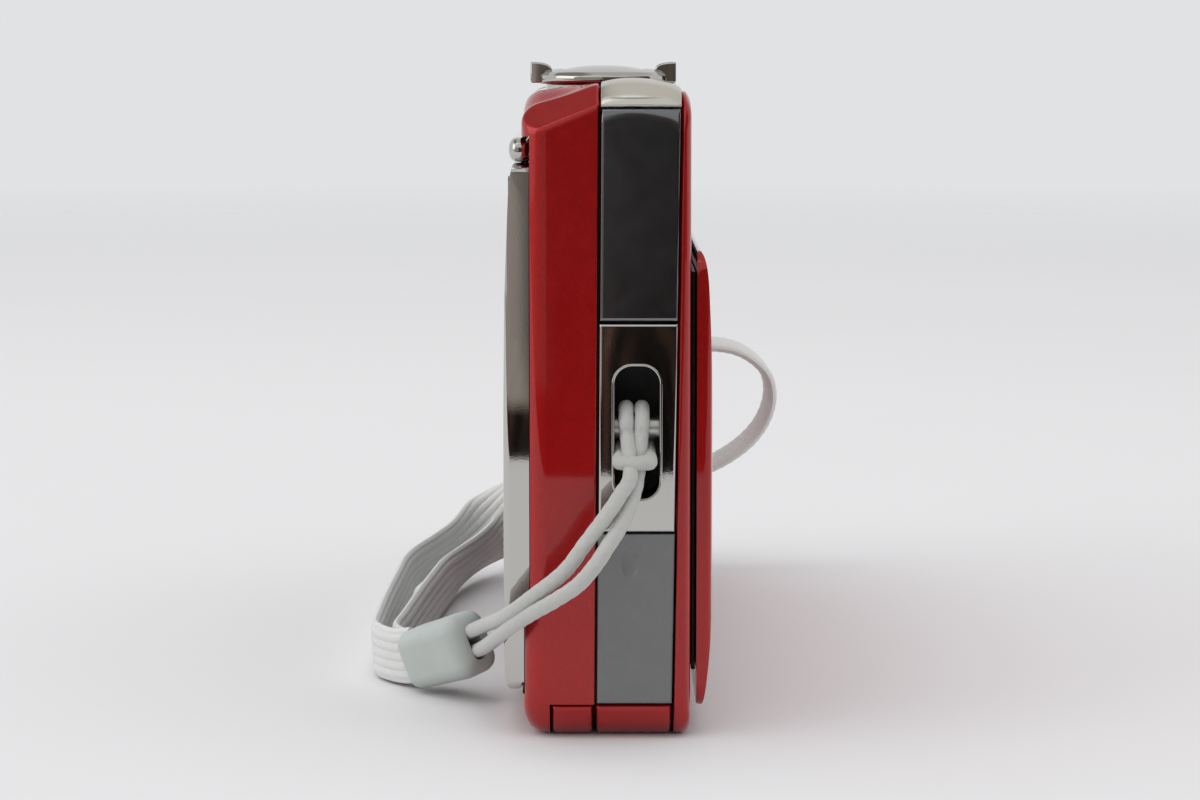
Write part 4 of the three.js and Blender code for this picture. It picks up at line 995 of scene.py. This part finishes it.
def make_base():
    holes = [
        bore("z", middle("tripod_socket", "xy"), TRIPOD_HOLE, 96, -3, 5),
        bore("z", middle("base_screw", "xy"), SCREW_HOLE, 48, -3, 0.8),
    ]
    front, rear = limit("y", BAND_FRONT[0] + SEAM, -1), limit("y", FLOOR_REAR, 1)
    floor = skin(front, rear, below(1.45), right_of(-4.22))
    new_piece("base_plate_form", floor, "base_plate", "red_paint", cutters=holes)
    latch_low, latch_high = corners("door_latch")
    split_x = latch_high.x + 1.9
    hinge_side = skin(front, rear, below(DOOR_LIP), left_of(-4.75), right_of(split_x - 0.02), edge=0.2)
    new_piece("battery_door_form", hinge_side, "battery_door", "red_paint")
    before_latch = limit("y", latch_low.y - 0.32, 1)
    free_side = skin(front, before_latch, below(DOOR_LIP), left_of(split_x + 0.02), edge=0.42)
    new_piece("battery_door_end_form", free_side, "battery_door", "red_paint")
    planes = (limit("y", latch_low.y, -1), limit("y", latch_high.y, 1))
    latch = skin(*planes, below(DOOR_LIP), left_of(latch_high.x), edge=0.42)
    new_piece("door_latch_form", latch, "door_latch", "red_paint")


make_front_shell()
make_rear_shell()
make_top_plate()
make_strap_end()
make_base()


# ------------ zoom ring and its button
def make_zoom_ring():
    plate_top = ring_high.z - 0.78
    plate_low = POCKET_FLOOR + 0.3
    outer = (ring_high.x - ring_low.x) / 2
    inside, neck = 4.6, 5.2  # radii of its hole and of its neck through the top plate
    profile = [
        (inside, ring_low.z), (neck, ring_low.z), (neck, plate_low), (outer - 0.35, plate_low),
        (outer, plate_low + 0.3), (outer, plate_low + 0.75), (outer - 0.35, plate_top - 0.12),
        (outer - 0.9, plate_top), (inside + 0.25, plate_top + 0.12), (inside, plate_top - 0.1),
    ]
    ring = lathe(profile, (RING_X, RING_Y), 128)
    new_piece("zoom_ring_form", ring, "zoom_ring", "chrome_trim", 0.1, 3, 24)
    reach = (ring_high.y - ring_low.y) / 2
    for side, name in ((1, "zoom_horn_rear"), (-1, "zoom_horn_front")):
        inner = reach - 1.95
        high, foot = ring_high.z, plate_low + 0.1
        outline = [(reach, foot), (reach, high)]
        outline += quadratic(outline[-1], (inner - 0.15, high + 0.02), (inner, high - 0.85), 8)
        outline += quadratic(outline[-1], (reach - 1.0, high - 0.8), (reach - 1.05, foot), 8)
        section = [(RING_Y + side * y, z) for y, z in outline]
        horn = prism("x", section, RING_X - 2.3, RING_X + 2.3)
        for vert in horn.verts:  # the horn narrows to its tip
            share = (vert.co.z - plate_low) / (ring_high.z - plate_low)
            vert.co.x = RING_X + (vert.co.x - RING_X) * (1 - 0.03 * share)
        new_piece(name, horn, "zoom_ring", "chrome_trim", 0.3, 5, 30)


def dome(radius, low, edge, crown, steps=14):
    """A lathe profile of a button with a domed face: (radius, height)."""
    points = [(0.0, low), (radius, low), (radius, edge)]
    for i in range(1, steps + 1):
        share = i / steps
        points.append((radius * (1 - share), edge + (crown - edge) * (1 - (1 - share) ** 2.4)))
    return points


def make_top_buttons():
    low, high = corners("shutter_button")
    profile = dome((high.x - low.x) / 2, low.z, high.z - 0.6, high.z)
    shutter = lathe(profile, (RING_X, RING_Y), 128)
    new_piece("shutter_button_form", shutter, "shutter_button", "chrome_trim", 0.12, 3, 40)
    low, high = corners("power_button")
    radius = (high.x - low.x) / 2
    rim = high.z - 0.15
    profile = [(0.0, low.z), (radius, low.z), (radius, rim), (radius - 0.3, high.z)]
    profile += [(radius - 0.8, high.z - 0.02), (radius - 1.0, high.z - 0.16), (0.0, high.z - 0.1)]
    power = lathe(profile, middle("power_button", "xy"))
    new_piece("power_button_form", power, "power_button", "chrome_trim", 0.06, 2, 24)


make_zoom_ring()
make_top_buttons()


# ------------ display side
def make_bezel():
    """The bright frame, with the lower part set further back than the upper part."""
    rear = bezel_high.y
    low, high = bezel_low.z, bezel_high.z
    step = bezel_low.y + 0.5
    outline = [(step, low + 0.9)]
    outline += quadratic((step, low + 0.9), (step + 0.05, low), (step + 0.9, low), 6)
    outline += quadratic((rear - 0.8, low), (rear - 0.15, low + 0.1), (rear - 0.08, low + 1.4), 8)
    outline += [(rear, low + 4.5), (rear, low + 24), (rear - 0.12, high - 12), (rear - 0.45, high - 3)]
    outline += quadratic((rear - 0.45, high - 3), (rear - 0.62, high), (rear - 1.1, high), 6)
    outline += [(bezel_low.y, high), (bezel_low.y, low + 9.5), (step, low + 7.5)]
    form = prism("x", outline, bezel_low.x, bezel_high.x)
    face = rounded(bezel_low.x, bezel_high.x, low - 0.01, high + 0.01, 0.9, 8)
    plan = rounded(bezel_low.x + 0.001, bezel_high.x - 0.001, -5, rear + 0.001, 0.6, 8)
    within = [cut("y", face, 0, 21), cut("z", plan, -5, 70)]
    rim = 1.1
    tray = rounded(bezel_low.x + rim, bezel_high.x - rim, low + rim, high - rim, 1.2, 10)
    cutters = [cut("y", tray, rear - 0.95, 20), window_box(20)]
    nav_low, nav_high = corners("nav_ring")
    cutters.append(bore("y", middle("nav_ring", "xz"), (nav_high.x - nav_low.x) / 2 + 0.5, 64, 0, 20))
    for key in ("movie_button", "playback_button", "menu_button"):
        cutters.append(bore("y", middle(key, "xz"), KEY_HOLE, 32, 0, 20))
    bezel = new_piece("rear_bezel_form", form, "rear_bezel", "chrome_trim", 0.16, 3, 30, cutters, within)
    bow_ends(bezel, low, high)


def bow_ends(obj, low, high):
    """Bows the two ends of a frame outwards a little, from edge to edge."""
    bm = bmesh.new()
    bm.from_mesh(obj.data)
    for i in range(1, 12):
        level = Vector((0, 0, (low + (high - low) * i / 12) * MM))
        bmesh.ops.bisect_plane(bm, geom=everything(bm), dist=1e-8, plane_co=level, plane_no=(0, 0, 1))
    bow = 0.62 * MM
    for vert in bm.verts:
        share = (2 * vert.co.z / MM - low - high) / (high - low)
        if abs(vert.co.x / MM) > bezel_high.x - 1.2:
            vert.co.x -= math.copysign(bow * share * share, vert.co.x)
    bm.to_mesh(obj.data)
    bm.free()
    shade(obj.data, SHARP_ANGLE)


def make_rail():
    """The bright rail over the frame, with rounded ends."""
    half_y, half_z = (rail_high.y - rail_low.y) / 2, (rail_high.z - rail_low.z) / 2
    middle_y, middle_z = middle("rear_rail", "yz")
    bm = bmesh.new()
    length = rail_high.x
    dome_length = 1.2

    def flattened(value):
        return math.copysign(abs(value) ** 0.8, value)

    stations = [-length + dome_length * (1 - math.cos(math.pi / 2 * i / 10)) for i in range(11)]
    stations = stations + [-s for s in reversed(stations)]
    rings = []
    for x in stations:
        depth = (length - abs(x)) / dome_length
        share = math.sqrt(max(0.0, 1 - (1 - min(depth, 1)) ** 2))
        share = 0.12 + 0.88 * share
        ring = []
        for angle in (math.tau * i / 40 for i in range(40)):
            y = middle_y + half_y * share * flattened(math.cos(angle))
            z = middle_z + half_z * share * flattened(math.sin(angle))
            ring.append(bm.verts.new((x, y, z)))
        rings.append(ring)
    join(bm, rings)
    new_piece("rear_rail_form", close(bm, rings), "rear_rail", "chrome_trim")


make_bezel()
make_rail()


# ------------ sliding cover
def make_slide_cover():
    """A thin curved sheet: its outer face bows from the lower to the upper edge."""
    inner, outer = cover_high.y, cover_low.y
    low, high = cover_low.z, cover_high.z
    outline = [(inner, low + 0.25), (inner, high - 0.35)]
    for control, end, steps in (
        ((inner, high), (inner - 0.3, high - 0.05), 5),
        ((outer + 0.5, high - 0.5), (outer + 0.33, high - 3.2), 10),
        ((outer, high - 9), (outer, high - 16), 8),
        ((outer, low + 13.0), (outer, low + 13.0), 1),
        ((outer, low + 6.5), (outer + 0.28, low + 4.0), 6),
        ((inner - 0.75, low + 0.4), (inner - 0.55, low + 0.1), 6),
        ((inner - 0.3, low - 0.05), (inner, low + 0.25), 4),
    ):
        outline += quadratic(outline[-1], control, end, steps)
    outline.pop()
    form = prism("x", outline, cover_low.x, cover_high.x)
    face = rounded(cover_low.x, cover_high.x, low - 0.2, high + 0.2, 2.5, 12)
    plan = rounded(cover_low.x + 0.001, cover_high.x - 0.001, cover_low.y, 20, 0.85, 10)
    within = [cut("y", face, -21, 21), cut("z", plan, -6, 71)]
    new_piece("slide_cover_form", form, "slide_cover", "red_paint", 0.14, 3, 30, (), within)


make_slide_cover()


# ------------ floor, light, and glowing sheets in front that paint the reflections of a dark room
def make_floor():
    look = Look("floor_paper", Specular_IOR_Level=0.25)
    tone = look.mix(look.noise(3.0, 2.0), rgb(227, 226, 227), rgb(231, 230, 231))
    look.colour(tone).roughness(look.noise(40), 0.75, 0.9)
    tree = look.tree
    # Far off, the floor fades into the background.
    far = look.ramp(look.between(look.distance(), 0.45, 1.1), (0.0, 0.0), (1.0, 1.0))
    clear = tree.nodes.new("ShaderNodeBsdfTransparent")
    blend = tree.nodes.new("ShaderNodeMixShader")
    tree.links.new(far, blend.inputs[0])
    tree.links.new(look.shader.outputs[0], blend.inputs[1])
    tree.links.new(clear.outputs[0], blend.inputs[2])
    tree.links.new(blend.outputs[0], tree.nodes["Material Output"].inputs["Surface"])
    bm = bmesh.new()
    bmesh.ops.create_circle(bm, cap_ends=True, segments=64, radius=1.2)
    floor = link_mesh("floor", bm)
    floor.data.materials.append(look.material)


def card_look(name):
    return Look(name, Specular_IOR_Level=0.0, Roughness=1.0)


def make_room():
    """Glowing sheets that paint what the gloss reflects round the strap end: a dark room, streaked brown in
    front. Nothing else sees these sheets.
    """
    look = card_look("painted_room_reflection")
    axes, distance = look.axes(), look.distance()
    flat = look.node("ShaderNodeMapping", Vector=look.place, Scale=(0.2, 24.0, 0.6)).outputs["Vector"]
    streaks = look.noise(9.0, 3.0, 0.55, flat)
    near_part = look.ramp(
        streaks,
        (0.36, rgb(16, 15, 15)),
        (0.5, rgb(38, 33, 31)),
        (0.62, rgb(92, 66, 55)),
        (0.7, rgb(122, 104, 95)),
    )
    far_part = look.mix(streaks, rgb(48, 48, 49), rgb(88, 82, 80))
    low_part = look.mix(look.between(distance, 0.5, 0.66), near_part, far_part)
    high_part = look.mix(streaks, rgb(70, 66, 64), rgb(112, 100, 92))
    centre = look.mix(look.between(axes["Z"], 0.06, 0.1), low_part, high_part)
    # Past its near part, it is lighter towards the display side. This paints a lighter reflection on the
    # upper part of the display frame.
    slant = look.node("ShaderNodeMath", Value=axes["Y"])
    slant.operation = "DIVIDE"
    look.feed(slant.inputs[1], distance)
    beside = look.between(slant.outputs[0], 0.02, 0.042)
    share = look.mix(look.between(distance, 0.31, 0.36), (0, 0, 0, 1), beside)
    look.glow(look.mix(share, centre, look.mix(streaks, rgb(150, 140, 132), rgb(186, 178, 170))))
    floor_and_wall = ((-0.219, 0.0015), (-0.75, 0.0015), (-0.75, 0.24))
    glossy_card("painted_room_reflection", [[(x, y, z) for y in (-0.9, 0.9)] for x, z in floor_and_wall], look)

    # A dim glowing sheet on the front side paints a darker reflection along the front of the body by the
    # strap end.
    side = card_look("painted_side_reflection")
    side.glow(side.mix(side.noise(6.0), rgb(78, 68, 66), rgb(104, 94, 90)))
    glossy_card("painted_side_reflection", [[(x, -0.62, z) for x in (-0.75, -0.06)] for z in (0.0015, 0.42)], side)

    ceiling = card_look("painted_ceiling_reflection")
    dim = ceiling.mix(ceiling.noise(3.0), rgb(140, 138, 136), rgb(156, 154, 150))
    # Short of the display side the sheet is bright, which paints a brighter reflection along the top plate's
    # crown; towards the display side it is dim.
    ceiling.glow(ceiling.mix(ceiling.between(ceiling.axes()["Y"], 0.2, 0.1), dim, rgb(210, 208, 204)))
    glossy_card("painted_ceiling_reflection", [[(x, y, 0.7) for y in (-0.6, 0.6)] for x in (-0.32, 0.45)], ceiling)


def glossy_card(name, rows, look):
    """A sheet through rows of points that shows only in reflections."""
    bm = bmesh.new()
    rows = [[bm.verts.new(point) for point in row] for row in rows]
    for one, other in zip(rows, rows[1:]):
        bm.faces.new((one[0], one[1], other[1], other[0]))
    card = link_mesh(name, bm)
    card.data.materials.append(look.material)
    card.visible_camera = False
    card.visible_diffuse = False
    card.visible_shadow = False
    card.visible_transmission = False


def area_light(name, place, target, size, power):
    data = bpy.data.lights.new(name, "AREA")
    data.shape = "RECTANGLE"
    data.size, data.size_y = size
    data.energy = power
    lamp = bpy.data.objects.new(name, data)
    lamp.location = place
    lamp.rotation_euler = (Vector(target) - Vector(place)).to_track_quat("-Z", "Y").to_euler()
    bpy.context.scene.collection.objects.link(lamp)


def make_light():
    world = bpy.data.worlds.new("studio")
    bpy.context.scene.world = world
    world.use_nodes = True
    background = world.node_tree.nodes["Background"]
    background.inputs["Color"].default_value = rgb(236, 237, 238)
    background.inputs["Strength"].default_value = 0.90
    area_light("softbox_above", (-0.05, 0.15, 0.9), (0, 0, 0), (0.9, 0.9), 2.6)
    area_light("softbox_rear_side", (-0.3, 0.75, 0.35), (0, 0, 0.03), (0.6, 0.6), 1.15)


make_floor()
make_room()
make_light()
bpy.context.scene.view_settings.view_transform = "Standard"

body_surface.free()
rear_surface.free()
